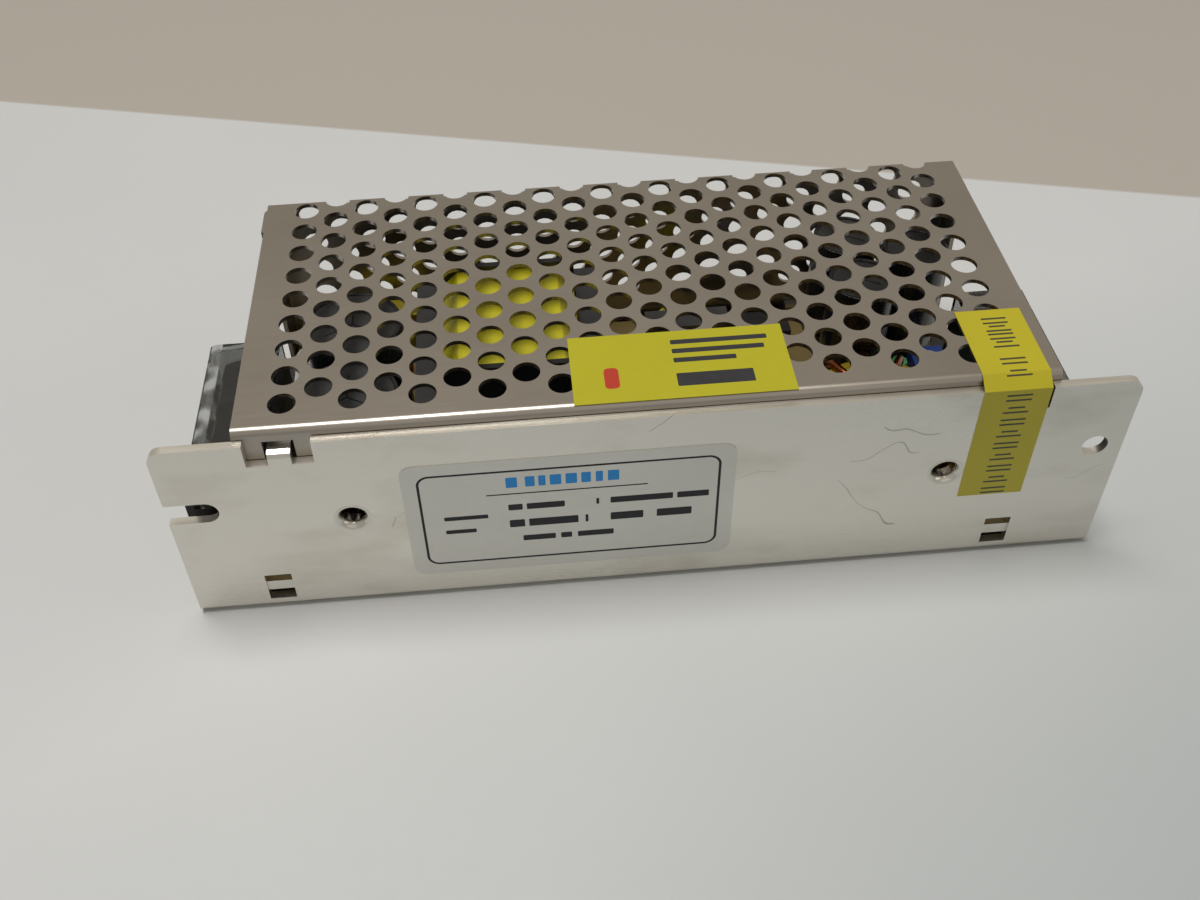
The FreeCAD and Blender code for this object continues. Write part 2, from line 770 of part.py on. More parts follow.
def chamfered(x, y, length, width, corner):
    """A rectangle by its middle and size, with its corners cut off."""
    half_x, half_y = "(%s) / 2" % length, "(%s) / 2" % width
    outline = []
    for sign_x, sign_y, along_x in (("-", "-", 0), ("+", "-", 1), ("+", "+", 0), ("-", "+", 1)):
        edge_x, edge_y = "%s %s %s" % (x, sign_x, half_x), "%s %s %s" % (y, sign_y, half_y)
        back_x = "%s %s %s" % (edge_x, "-" if sign_x == "+" else "+", corner)
        back_y = "%s %s %s" % (edge_y, "-" if sign_y == "+" else "+", corner)
        pair = [(edge_x, back_y), (back_x, edge_y)]
        outline += reversed(pair) if along_x else pair
    return outline


def make_pillars():
    """Hexagonal spacers riveted into the base plate, tapped for the board's screws."""
    body = new_body("board_pillars")
    pad(body, "XY", "wall_sheet", "board_height - wall_sheet", at_pillars("pillar_width", 6))
    pad(body, "XY", 0, "wall_sheet", at_pillars("pillar_spigot", 6))
    pocket(body, "XY", "board_height", "board_height", at_pillars(THREAD_WIDTH, 6))
    return keep("board_pillars", body)


# Screws: a round head with a cross or slot above a plain shank
def make_screw(name, length):
    """A screw along Z with the underside of its head at z = 0."""
    body = new_body(name)
    pad(body, "XY", "-(%s)" % length, length, [regular("0", "0", "screw_shank", 6)])
    pad(body, "XY", "0", "screw_head_height", [regular("0", "0", "screw_head", 8)])
    return body


def aim(body, x, y, z, direction):
    """Place a body whose own Z points along a direction."""
    place(body, x, y, z)
    body.Placement.Rotation = Rotation(Vector(0, 0, 1), Vector(*direction))
    return body


def make_board_screws():
    screws = [
        place(make_screw("board_screw", "board_sheet + board_screw_grip"), "%spillar_spacing / 2" % side,
              PILLAR_PLACE, BOARD_TOP)
        for side in ("-", "")
    ]
    keep("board_screws", group("board_screws", screws))


def make_cover_screws():
    screws = []
    for side in ("-", ""):
        body = new_body("cover_screw")
        pad(body, "XY", "-cover_screw_length", "cover_screw_length",
            [regular("0", "0", "screw_shank", 6)])
        pad(body, "XY", "0", "cover_sheet + cover_gap", [regular("0", "0", "screw_head", 6)], back=True)
        screws.append(aim(body, "%slug_spacing / 2" % side, COVER_FAR, COVER_SCREW_HEIGHT, (0, 1, 0)))
    keep("cover_screws", group("cover_screws", screws))


# Terminal blocks, in a frame of their own: X points out of the case, Z up from the board
def at_terminals(body, side):
    """Move a terminal part to the input end (-1) or the output end (1)."""
    reach = "board_shift %s block_reach" % ("+" if side > 0 else "-")
    return place(body, reach, BLOCK_MIDDLE, BOARD_TOP, 0 if side > 0 else 180)


def make_block(label, side):
    body = new_body(label)
    width = "2 * " + BLOCK_HALF
    pad(body, "XZ", 0, width, [[
        ("lid_gap", "0"),
        ("block_depth", "0"),
        ("block_depth", "ledge_height"),
        ("rear_wall_sheet", "ledge_height"),
        ("rear_wall_sheet", "rear_wall_height"),
        ("lid_gap", "rear_wall_height"),
    ]], midplane=True)
    fin = pad(body, "XZ", BLOCK_HALF, "fin_sheet", [[
        ("rear_wall_sheet - 0.5", "ledge_height - 0.5"),
        ("block_depth", "ledge_height - 0.5"),
        ("block_depth", "fin_step_height"),
        ("fin_reach", "fin_step_height"),
        ("fin_reach", "fin_height - fin_corner"),
        ("fin_reach - 0.3 * fin_corner", "fin_height - 0.3 * fin_corner"),
        ("fin_reach - fin_corner", "fin_height"),
        ("rear_wall_sheet - 0.5", "fin_height"),
    ]], back=True)
    spread(body, fin, "Y", "terminal_pitch", "terminal_count + 1")
    leg = "(rear_wall_sheet + slot_gap + contact_sheet / 2)"
    pocket(body, "XY", "ledge_height", "ledge_height + 1", [
        around(leg, y, "contact_sheet + slot_gap", "contact_leg_width + slot_gap")
        for y in TERMINAL_PLACES])
    pocket(body, "XY", "ledge_height", "terminal_screw_length", [
        around("terminal_screw_place", y, "screw_shank + 1", "screw_shank + 1")
        for y in TERMINAL_PLACES])
    for offset, back in (("-" + BLOCK_HALF, True), (BLOCK_HALF, False)):
        pad(body, "XZ", offset, "hinge_pin_length",
            circles=[("hinge_place", "hinge_height", "hinge_pin / 2")], back=back)
    return keep(label, at_terminals(body, side))


def make_contacts(side):
    """Three tapped plates with a leg down through the block and the board."""
    body = new_body("contacts")
    rear = "(rear_wall_sheet + slot_gap)"
    middle = TERMINAL_PLACES[0]
    plate = rectangle(rear, "%s - contact_width / 2" % middle,
                      "%s + contact_length" % rear, "%s + contact_width / 2" % middle)
    bore = regular("terminal_screw_place", middle, "screw_shank + turning_room", 6)
    first = pad(body, "XY", "ledge_height", "contact_sheet", [plate, bore])
    leg = around("%s + contact_sheet / 2" % rear, middle, "contact_sheet", "contact_leg_width")
    second = pad(body, "XY", "ledge_height", "ledge_height + board_sheet + contact_leg_length - 1.6",
                 [leg], back=True)
    pattern = spread(body, first, "Y", "terminal_pitch", "terminal_count")
    pattern.Originals = [first, second]
    return at_terminals(body, side)


def make_clamps(side):
    """Three clamp plates that the screws press on the wires."""
    body = new_body("clamps")
    plate = around("terminal_screw_place", TERMINAL_PLACES[0], "clamp_width", "clamp_width")
    first = pad(body, "XY", CONTACT_TOP, "clamp_sheet", [
        plate, regular("terminal_screw_place", TERMINAL_PLACES[0], "screw_shank + turning_room", 6)])
    spread(body, first, "Y", "terminal_pitch", "terminal_count")
    return at_terminals(body, side)


def make_terminal_screws(label, side):
    for index, y in enumerate(TERMINAL_PLACES, start=1):
        body = make_screw("terminal_screw", "terminal_screw_length")
        sign = "+" if side > 0 else "-"
        place(body, "board_shift %s (block_reach + terminal_screw_place)" % sign,
              "%s + %s" % (BLOCK_MIDDLE, y), "%s + %s" % (BOARD_TOP, CLAMP_TOP))
        keep("%s_%d" % (label, index), body)


def make_lid(label, side):
    """A clear cover: top panel, front skirt and two cheeks that turn on the block's pins."""
    body = new_body(label)
    width = "2 * " + LID_HALF
    under = "(lid_height - lid_sheet)"
    skirt_foot = "(lid_height - lid_skirt)"
    pad(body, "XZ", 0, width, [[
        ("lid_sheet", under),
        ("lid_reach - lid_sheet", under),
        ("lid_reach - lid_sheet", skirt_foot),
        ("lid_reach", skirt_foot),
        ("lid_reach", "lid_height - lid_corner"),
        ("lid_reach - 0.3 * lid_corner", "lid_height - 0.3 * lid_corner"),
        ("lid_reach - lid_corner", "lid_height"),
        ("lid_sheet", "lid_height"),
    ]], midplane=True)
    cheek = [
        ("hinge_place - hinge_pin / 2 - 0.9", "hinge_height - hinge_pin / 2 - 0.9"),
        ("hinge_place + hinge_pin", "hinge_height - hinge_pin / 2 - 0.9"),
        ("lid_reach - 2 * lid_sheet", skirt_foot),
        ("lid_reach", skirt_foot),
        ("lid_reach", "lid_height - lid_corner"),
        ("lid_reach - 0.3 * lid_corner", "lid_height - 0.3 * lid_corner"),
        ("lid_reach - lid_corner", "lid_height"),
        ("hinge_place - hinge_pin / 2 - 0.9", "lid_height"),
    ]
    for offset, back in (("%s - lid_sheet" % LID_HALF, False), ("lid_sheet - %s" % LID_HALF, True)):
        pad(body, "XZ", offset, "lid_sheet", [cheek], back=back)
    pocket(body, "XZ", "%s + 1" % LID_HALF, "2 * %s + 2" % LID_HALF,
           circles=[("hinge_place", "hinge_height", "hinge_pin / 2 + hinge_gap")])
    return keep(label, at_terminals(body, side))


# Main transformer: ferrite core lying on its side, bobbin and taped winding
CORE_FLOOR = "(%s + core_middle_height)" % BOARD_TOP


def make_core():
    """Two E halves around the bobbin: outer ring and middle post."""
    body = new_body("transformer_core")
    window = "((core_window_width - core_post) / 2)"
    windows = [
        around("%s(core_window_width + core_post) / 4" % side, "0", window, "core_window_length")
        for side in ("-", "")
    ]
    ring = around("0", "0", "core_width", "core_length")
    pad(body, "XY", "-core_sheet / 2", "core_sheet", [ring] + windows)
    return keep("transformer_core", place(body, "core_x", "core_y", CORE_FLOOR))


def make_bobbin():
    body = new_body("transformer_bobbin")
    post = "(core_post + 0.2)"
    post_height = "(core_sheet + 0.2)"
    tube = "(core_window_length - 0.4)"
    flange_width = "(core_window_width - 0.4)"
    pad(body, "XZ", 0, tube, [
        around("0", "0", "%s + 2 * bobbin_tube_sheet" % post,
               "%s + 2 * bobbin_tube_sheet" % post_height),
        around("0", "0", post, post_height),
    ], midplane=True)
    foot = "(-core_middle_height)"
    for offset, back in (("%s / 2" % tube, True), ("-%s / 2" % tube, False)):
        pad(body, "XZ", offset, "bobbin_flange_sheet", [
            rectangle("-%s / 2" % flange_width, foot, "%s / 2" % flange_width,
                      "core_middle_height - 1.2"),
            around("0", "0", post, post_height),
        ], back=back)
    feet = [
        rectangle("-%s / 2" % flange_width, "%s / 2 - bobbin_flange_sheet" % tube,
                  "%s / 2" % flange_width, "%s / 2 + bobbin_foot_length" % tube),
        rectangle("-%s / 2" % flange_width, "-%s / 2 - bobbin_foot_length" % tube,
                  "%s / 2" % flange_width, "-%s / 2 + bobbin_flange_sheet" % tube),
    ]
    pad(body, "XY", foot, "3.5", feet)
    return keep("transformer_bobbin", place(body, "core_x", "core_y", CORE_FLOOR))


def make_winding():
    """The taped winding, a rounded block on the bobbin's tube."""
    body = new_body("transformer_winding")
    pad(body, "XZ", 0, "winding_length", [
        chamfered("0", "0", "winding_width", "2 * core_middle_height - 4.4", "3"),
        around("0", "0", "core_post + 2 * bobbin_tube_sheet + 0.3",
               "core_sheet + 2 * bobbin_tube_sheet + 0.3"),
    ], midplane=True)
    return keep("transformer_winding", place(body, "core_x", "core_y", CORE_FLOOR))


def make_driver_transformer():
    """Small transformer: upright ferrite frame with its middle post, and its winding."""
    body = new_body("driver_core")
    half = "(driver_width / 2)"
    ring = rectangle("-%s" % half, "0", half, "driver_height")
    windows = [
        rectangle("-%s + driver_rim" % half, "driver_rim", "-driver_post / 2",
                  "driver_height - driver_rim"),
        rectangle("driver_post / 2", "driver_rim", "%s - driver_rim" % half,
                  "driver_height - driver_rim"),
    ]
    pad(body, "XZ", 0, "driver_sheet", [ring] + windows, midplane=True)
    keep("driver_core", place(body, "driver_x", "driver_y", "%s + driver_lift" % BOARD_TOP))
    body = new_body("driver_winding")
    pad(body, "XY", "driver_rim + slot_gap", "driver_height - 2 * (driver_rim + slot_gap)", [
        chamfered("0", "0", "driver_width - driver_post - slot_gap", "driver_window", "1.5"),
        around("0", "0", "driver_post + slot_gap", "driver_sheet + slot_gap"),
    ])
    keep("driver_winding", place(body, "driver_x", "driver_y", "%s + driver_lift" % BOARD_TOP))


# Capacitors
def make_can(name, width, height, x, y, flats):
    """An upright can in its sleeve, with the sleeve's rim turned in over the top."""
    body = new_body(name)
    pad(body, "XY", 0, height, [regular("0", "0", width, flats)])
    pocket(body, "XY", height, "0.3", [regular("0", "0", "%s - 2 * sleeve_rim" % width, flats)])
    return place(body, x, y, BOARD_TOP)


def make_capacitors():
    bulk = [
        make_can("bulk_can", "bulk_can_width", "bulk_can_height", "bulk_x",
                 "bulk_y + %d * bulk_spacing" % index, 14)
        for index in range(2)
    ]
    keep("bulk_capacitors", group("bulk_capacitors", bulk))
    places = (("output_can_x", "output_can_y"), ("output_can_x", "output_can_y + output_can_spacing"),
              ("third_can_x", "third_can_y"))
    output = [
        make_can("output_can", "output_can_width", "output_can_height", x, y, 12) for x, y in places
    ]
    keep("output_capacitors", group("output_capacitors", output))
    keep("x_capacitor", box("x_capacitor", "film_cap_length", "film_cap_width", "film_cap_height",
                            "film_cap_x", "film_cap_y", BOARD_TOP))
    discs = []
    for x in ("disc_x", "disc_x + disc_spacing"):
        body = new_body("disc")
        add_disc(body)
        discs.append(place(body, x, "disc_y", BOARD_TOP))
    keep("y_capacitors", group("y_capacitors", discs))
    body = new_body("thermistor")
    add_disc(body)
    keep("thermistor", place(body, "thermistor_x", "thermistor_y", BOARD_TOP))


def add_disc(body):
    """A round disc standing on two leads, in the YZ plane."""
    centre = "(disc_lead + disc_width / 2)"
    pad(body, "YZ", 0, "disc_sheet", [regular("0", centre, "disc_width", 10)], midplane=True)
    leads = [around("0", "%sdisc_width / 3" % side, "0.7", "0.7") for side in ("-", "")]
    pad(body, "XY", "0", centre, leads)


# Toroids
def make_toroid(label, kind):
    """A ring core lying flat, and its winding of separate turns."""
    x, y = kind + "_ring_x", kind + "_ring_y"
    ring, hole_width = kind + "_ring_width", kind + "_ring_hole"
    height, wire = kind + "_ring_height", kind + "_wire"
    floor = "(%s + %s + ring_lift)" % (BOARD_TOP, wire)
    core = new_body(label + "_core")
    pad(core, "XY", "0", height, [
        regular("0", "0", ring, 14),
        regular("0", "0", hole_width, 10),
    ])
    keep(label + "_core", place(core, x, y, floor))
    turns = new_body(label + "_winding")
    inner, outer = "(%s / 2 - ring_lift)" % hole_width, "(%s / 2 + ring_lift)" % ring
    low, high = "(-ring_lift)", "(%s + ring_lift)" % height
    turn = pad(turns, "XZ", 0, wire, [
        rectangle("%s - %s" % (inner, wire), "%s - %s" % (low, wire),
                  "%s + %s" % (outer, wire), "%s + %s" % (high, wire)),
        rectangle(inner, low, outer, high),
    ], midplane=True)
    pattern = turns.newObject("PartDesign::PolarPattern", label + "_turns")
    pattern.Originals = [turn]
    pattern.Axis = (origin_feature(turns, "Z_Axis"), [""])
    pattern.Angle = 360
    pattern.Occurrences = round(num(kind + "_turn_count"))
    pattern.setExpression("Occurrences", bound(kind + "_turn_count"))
    turns.Tip = pattern
    keep(label + "_winding", place(turns, x, y, floor))


# Small parts
def make_small_parts():
    body = new_body("fuse")
    half = "(fuse_length / 2)"
    barrel = "(fuse_width / 2)"
    pad(body, "XZ", 0, "fuse_length", [regular("0", barrel, "fuse_width - 0.4", 10)], midplane=True)
    for offset, back in (("%s - fuse_ferrule" % half, False), ("fuse_ferrule - %s" % half, True)):
        pad(body, "XZ", offset, "fuse_ferrule", [regular("0", barrel, "fuse_width", 10)], back=back)
    keep("fuse", place(body, "fuse_x", "fuse_y", "%s + 0.12" % BOARD_TOP))

    body = new_body("bridge_rectifier")
    pad(body, "XZ", 0, "bridge_sheet", [[
        ("-bridge_width / 2", "disc_lead"),
        ("bridge_width / 2", "disc_lead"),
        ("bridge_width / 2", "bridge_height + disc_lead"),
        ("-bridge_width / 2 + 2", "bridge_height + disc_lead"),
        ("-bridge_width / 2", "bridge_height + disc_lead - 2"),
    ]], midplane=True)
    leads = [around("bridge_width * %s" % share, "0", "0.8", "0.8")
             for share in ("-0.38", "-0.13", "0.13", "0.38")]
    pad(body, "XY", "0", "disc_lead + 1", leads)
    keep("bridge_rectifier", place(body, "bridge_x", "bridge_y", BOARD_TOP))

    body = new_body("control_chip")
    pad(body, "XY", "0.5", "chip_height - 0.5", [around("0", "0", "chip_length", "chip_width")])
    lead = pad(body, "XY", "0", "chip_height / 2", [
        around("-1.5 * lead_pitch", "0", "lead_width", "chip_width + 1.2"),
    ])
    spread(body, lead, "X", "lead_pitch", "4")
    keep("control_chip", place(body, "chip_x", "chip_y", BOARD_TOP))

    body = new_body("voltage_trimmer")
    pad(body, "XY", "0", "trimmer_height", [
        around("0", "0", "trimmer_width", "trimmer_width"),
    ])
    pocket(body, "XY", "trimmer_height", "trimmer_recess", [regular("0", "0", "rotor_width + 0.4", 12)])
    keep("voltage_trimmer", place(body, "trimmer_x", "trimmer_y", BOARD_TOP))

    body = new_body("trimmer_rotor")
    pad(body, "XY", "trimmer_height - trimmer_recess", "trimmer_recess + rotor_rise",
        [regular("0", "0", "rotor_width", 12)])
    pocket(body, "XY", "trimmer_height + rotor_rise", "0.8",
           [around("0", "0", "rotor_width * 0.7", "0.7")])
    keep("trimmer_rotor", place(body, "trimmer_x", "trimmer_y", BOARD_TOP))

    body = new_body("indicator_lamp")
    pad(body, "XY", "0", "lamp_height", [regular("0", "0", "lamp_width", 8)])
    pad(body, "XY", "0", "1", [regular("0", "0", "lamp_width + 0.8", 8)])
    keep("indicator_lamp", place(body, "lamp_x", "lamp_y", BOARD_TOP))


# Labels
def make_labels():
    body = new_body("nameplate_label")
    plate = chamfered("plate_x", "plate_z", "plate_length", "plate_height", "plate_corner * 0.6")
    pad(body, "XZ", "-" + WALL_FACE, "label_sheet", [plate])
    keep("nameplate_label", body)

    body = new_body("cover_label")
    near = "(%s + sticker_inset - 1.5)" % COVER_NEAR
    pad(body, "XY", COVER_TOP, "label_sheet", [rectangle(
        "sticker_x - sticker_length / 2", near, "sticker_x + sticker_length / 2",
        "%s + sticker_width" % near)])
    keep("cover_label", body)

    body = new_body("seal_strip")
    edge = "(%s + 0.7)" % COVER_NEAR
    top_end = "(%s + strip_top_length)" % edge
    thick = "label_sheet"
    pad(body, "YZ", "strip_x", "strip_width", [[
        (top_end, COVER_TOP),
        (top_end, "%s + %s" % (COVER_TOP, thick)),
        ("%s - 0.03" % edge, "%s + %s" % (COVER_TOP, thick)),
        ("%s - %s" % (WALL_FACE, thick), "wall_height + 0.06"),
        ("%s - %s" % (WALL_FACE, thick), "strip_foot"),
        (WALL_FACE, "strip_foot"),
        (WALL_FACE, "wall_height"),
        (edge, COVER_TOP),
    ]], midplane=True)
    keep("seal_strip", body)


# Power semiconductors clamped to the side wall
def make_package(label, x):
    body = new_body(label)
    foot = PACKAGE_FOOT
    back = PACKAGE_TAB_BACK
    body_face = "(%s + package_tab_sheet)" % back
    pad(body, "XZ", "-" + back, "package_tab_sheet", [
        rectangle("-package_width / 2", foot, "package_width / 2", "%s + package_tab_height" % foot),
        regular("0", PACKAGE_HOLE_HEIGHT, "package_hole", 4),
    ], back=True)
    pad(body, "XZ", "-" + back, "package_tab_sheet + package_body_sheet", [
        rectangle("-package_width / 2", foot, "package_width / 2", "%s + package_body_height" % foot),
    ], back=True)
    leads = [
        around(lead, LEAD_PLACE, "lead_width", "lead_width") for lead in PACKAGE_LEADS
    ]
    pad(body, "XY", foot, "package_lead + board_sheet + 1.4", leads, back=True)
    return keep(label, place(body, x, "0", "0"))


def make_packages():
    pads, screws = [], []
    for label, x in PACKAGE_PLACES.items():
        make_package(label, x)
        sheet_pad = new_body("pad")
        pad(sheet_pad, "XZ", "-" + WALL_BACK, "pad_sheet", [
            rectangle("-package_width / 2 - 1.5", "%s - 1.5" % PACKAGE_FOOT,
                      "package_width / 2 + 1.5", "%s + package_tab_height + 1" % PACKAGE_FOOT),
            regular("0", PACKAGE_HOLE_HEIGHT, "package_hole", 4),
        ], back=True)
        pads.append(place(sheet_pad, x, "0", "0"))
        screw = make_screw("package_screw", "package_tab_sheet + pad_sheet + wall_sheet")
        aim(screw, x, "%s + package_tab_sheet" % PACKAGE_TAB_BACK, PACKAGE_HOLE_HEIGHT, (0, 1, 0))
        screws.append(screw)
    keep("insulating_pads", group("insulating_pads", pads))
    keep("transistor_screws", group("transistor_screws", screws))


def finish():
    doc.recompute()
    for item in doc.Objects:
        bad = [word for word in item.State if word in ("Invalid", "Error")]
        if bad:
            raise RuntimeError("%s is %s" % (item.Name, bad))
    os.makedirs("parts", exist_ok=True)
    for label, item in parts.items():
        shape = item.Shape
        if shape.isNull() or not shape.isValid():
            raise RuntimeError("%s has no valid shape" % label)
        shape.exportStep("parts/%s.step" % label)


make_chassis()
make_cover()
make_film()
make_board()
make_pillars()
make_board_screws()
make_cover_screws()
for side, end in ((-1, "input"), (1, "output")):
    make_block(end + "_terminal_block", side)
    make_terminal_screws(end + "_screw", side)
    make_lid(end + "_terminal_cover", side)
keep("terminal_contacts", group("terminal_contacts", [make_contacts(-1), make_contacts(1)]))
keep("clamp_plates", group("clamp_plates", [make_clamps(-1), make_clamps(1)]))
make_core()
make_bobbin()
make_winding()
make_driver_transformer()
make_capacitors()
make_packages()
make_toroid("output_choke", "output")
make_toroid("input_choke", "input")
make_small_parts()
make_labels()
finish()
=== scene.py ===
import json
import math

import bpy
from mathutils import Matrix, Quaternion, Vector


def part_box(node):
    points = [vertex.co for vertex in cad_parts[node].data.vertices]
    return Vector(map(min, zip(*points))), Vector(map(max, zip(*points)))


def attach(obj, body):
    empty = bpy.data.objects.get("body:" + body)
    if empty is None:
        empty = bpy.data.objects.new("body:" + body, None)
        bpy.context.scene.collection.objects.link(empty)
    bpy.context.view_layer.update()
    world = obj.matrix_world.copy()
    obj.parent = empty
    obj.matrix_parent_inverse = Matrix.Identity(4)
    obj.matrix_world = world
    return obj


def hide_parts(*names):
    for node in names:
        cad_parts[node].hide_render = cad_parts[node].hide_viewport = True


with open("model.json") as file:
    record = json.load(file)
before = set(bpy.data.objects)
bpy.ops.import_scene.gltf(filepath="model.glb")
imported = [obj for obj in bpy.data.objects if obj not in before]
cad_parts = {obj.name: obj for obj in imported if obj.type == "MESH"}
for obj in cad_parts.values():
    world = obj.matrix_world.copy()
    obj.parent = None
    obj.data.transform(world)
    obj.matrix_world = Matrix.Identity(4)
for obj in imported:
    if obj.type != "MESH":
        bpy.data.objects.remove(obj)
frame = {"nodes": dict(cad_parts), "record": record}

bl_info = {
    "name": "Mesh case power supply",
    "version": (1, 0, 0),
    "blender": (4, 5, 0),
    "location": "View3D > Sidebar > Power supply",
    "description": "Builds the looks of a mesh case switching power supply around its packed frame",
    "category": "Object",
}

MM = 0.001
CASE = "case"


# Settings

def linear(code):
    """An sRGB hex code as linear red, green, blue and alpha."""
    values = [int(code[index:index + 2], 16) / 255 for index in (0, 2, 4)]
    return [v / 12.92 if v <= 0.04045 else ((v + 0.055) / 1.055) ** 2.4 for v in values] + [1.0]


def number_prop(name, default, description, unit="NONE"):
    return bpy.props.FloatProperty(name=name, description=description, default=default, min=0,
                                   precision=5, unit=unit)


def length_prop(name, default_mm, description):
    """A length, given in mm and held in metres."""
    return number_prop(name, default_mm * MM, description, "LENGTH")


def count_prop(name, default, lowest, highest, description):
    return bpy.props.IntProperty(name=name, description=description, default=default,
                                 min=lowest, max=highest)


def colour_prop(name, code, description):
    """A colour, given as it looks in even light."""
    return bpy.props.FloatVectorProperty(name=name, description=description, size=4, min=0, max=1,
                                         default=linear(code), subtype="COLOR")


class SupplySizes(bpy.types.PropertyGroup):
    """Sizes of the dressed pieces, and how finely round forms are divided"""
    cover_sheet: length_prop("Cover sheet", 0.8, "Thickness of the cover's sheet")
    fold_radius: length_prop("Fold radius", 1.3, "Outer radius of the cover's folds")
    hole_pitch: length_prop("Hole pitch", 6.49, "Distance between neighbouring holes")
    hole_radius: length_prop("Hole radius", 2.3, "Radius of the cover's round holes")
    burr: length_prop("Hole edge", 0.08, "Width of the bright edge around each hole")
    chassis_edge: length_prop("Chassis edge", 0.12, "Rounding of the chassis's cut edges")
    block_edge: length_prop("Block edge", 0.22, "Rounding of the terminal blocks")
    lid_edge: length_prop("Lid edge", 0.2, "Rounding of the clear terminal covers")
    head_radius: length_prop("Screw head radius", 2.88, "Radius of a terminal screw's head")
    head_height: length_prop("Screw head height", 2.0, "Height of a terminal screw's head")
    can_rim: length_prop("Can rim", 0.35, "Rounding of the capacitors' rims")
    core_edge: length_prop("Core edge", 0.5, "Rounding of the main transformer's core")
    tape_corner: length_prop("Tape corner", 1.6, "Rounding of the main transformer's tape")
    driver_corner: length_prop("Small tape corner", 0.8, "Rounding of the driver's tape")
    ring_edge: length_prop("Ring edge", 0.9, "Rounding of the chokes' ring cores")
    label_corner: length_prop("Label corner", 2.4, "Radius of the side label's corners")
    top_flats: count_prop("Top hole sides", 24, 8, 48, "Sides of each hole in the top")
    side_flats: count_prop("Side hole sides", 16, 8, 48, "Sides of each hole in the far side")
    can_flats: count_prop("Can sides", 48, 12, 96, "Sides of each round capacitor")
    ring_flats: count_prop("Ring sides", 56, 12, 96, "Sides of each ring core")
    wire_resolution: count_prop("Wire roundness", 2, 0, 6, "Fineness of the wire's section")


class SupplyColours(bpy.types.PropertyGroup):
    """Colours of the materials and labels"""
    aluminium: colour_prop("Aluminium", "DDDAD2", "Rolled sheet of the chassis")
    aluminium_stain: colour_prop("Aluminium stain", "D0CCC2", "Faint stains on the chassis")
    scratch: colour_prop("Scratch", "8F8F8C", "Hair lines on the chassis")
    pressed: colour_prop("Pressed aluminium", "D5D3CC", "Drawn edges of the side holes")
    cover: colour_prop("Cover", "AAA49C", "Plated sheet of the cover")
    cover_cloud: colour_prop("Cover cloud", "A09991", "Darker clouds on the cover")
    zinc: colour_prop("Zinc", "C9CAC8", "Screws, clamp plates and spacers")
    tin: colour_prop("Tinned brass", "C9C4B4", "Terminal contacts")
    can_top: colour_prop("Can top", "606264", "Metal tops of the round capacitors")
    black: colour_prop("Black plastic", "1B1B1D", "Terminal blocks and bobbin")
    package: colour_prop("Black epoxy", "222225", "Transistors, rectifiers and chip")
    clear: colour_prop("Clear plastic", "A8ABAA", "Covers of the terminals")
    # Painted highlight: pale streaks painted into the clear covers near their ends
    lid_painted_highlight: colour_prop("Light streak", "F2F4F3", "Light caught in the clear covers")
    board: colour_prop("Board", "A08A55", "Laminate of the circuit board")
    film: colour_prop("Insulation", "2B2B2E", "Sheet between board and chassis")
    ferrite: colour_prop("Ferrite", "242426", "Transformer cores and the dark ring")
    tape: colour_prop("Tape", "D2C824", "Tape around the transformers")
    sleeve: colour_prop("Sleeve", "1C1D21", "Sleeves of the round capacitors")
    film_box: colour_prop("Film capacitor", "B8A62A", "Case of the film capacitor")
    disc: colour_prop("Disc capacitor", "2C5FA6", "Coat of the disc capacitors")
    thermistor: colour_prop("Thermistor", "23332B", "Coat of the thermistor")
    pad: colour_prop("Pad", "8E9092", "Sheets under the transistors")
    powder: colour_prop("Powder core", "CDB32E", "Paint of the yellow ring core")
    copper: colour_prop("Copper", "B5622C", "Enamelled wire")
    copper_dark: colour_prop("Dark copper", "8E4420", "Darker clouds on the wire")
    fuse: colour_prop("Fuse", "D8D6CF", "Ceramic tube of the fuse")
    trimmer: colour_prop("Trimmer", "2A56B0", "Body of the trimmer")
    rotor: colour_prop("Rotor", "E6E6E2", "Turning part of the trimmer")
    lamp: colour_prop("Lamp", "7ED487", "Indicator lamp")
    nameplate: colour_prop("Side label", "D0CFC9", "Silvery film of the side label")
    print_dark: colour_prop("Dark print", "26262B", "Dark bars of the labels")
    print_blue: colour_prop("Blue print", "2F86C9", "Heading of the side label")
    print_red: colour_prop("Red print", "C23A22", "Red field of the cover's label")
    sticker: colour_prop("Cover label", "C4BC1A", "Yellow label on the cover")
    strip: colour_prop("Strip", "C8BA1C", "Yellow strip over the edge")
    strip_print: colour_prop("Strip print", "3B3A1C", "Thin bars of the yellow strip")


class SupplyStage(bpy.types.PropertyGroup):
    """Lights, table and ground"""
    key_power: number_prop("Key light", 6.9, "Large lamp above", "POWER")
    fill_power: number_prop("Fill light", 0.22, "Lamp in front", "POWER")
    side_power: number_prop("Side light", 0.3, "Lamp at the output end", "POWER")
    room_light: number_prop("Room light", 0.12, "Even light all around, 1 for a white room")
    table: colour_prop("Table", "E6E6E4", "Table where it is lit best")
    # Painted shadow: the table's colour towards the front right, where shade falls
    table_painted_shadow: colour_prop("Table shade", "BFC4C4", "Table where it turns cooler")
    ground: colour_prop("Ground", "C4BBB0", "Ground behind the table's edge")
    backdrop: colour_prop("Backdrop", "B5AEA3", "What shows beyond the ground")


def mm(length):
    """A length setting in mm, without the noise of its single precision."""
    return round(length / MM, 4)


def tint(key):
    """One of the material colours, as red, green, blue and alpha."""
    return list(getattr(bpy.context.scene.supply_colours, key))


def darker(key, share):
    """The same colour with its red, green and blue cut to a share."""
    return [share * value for value in tint(key)[:3]] + [1.0]


# Shader nodes

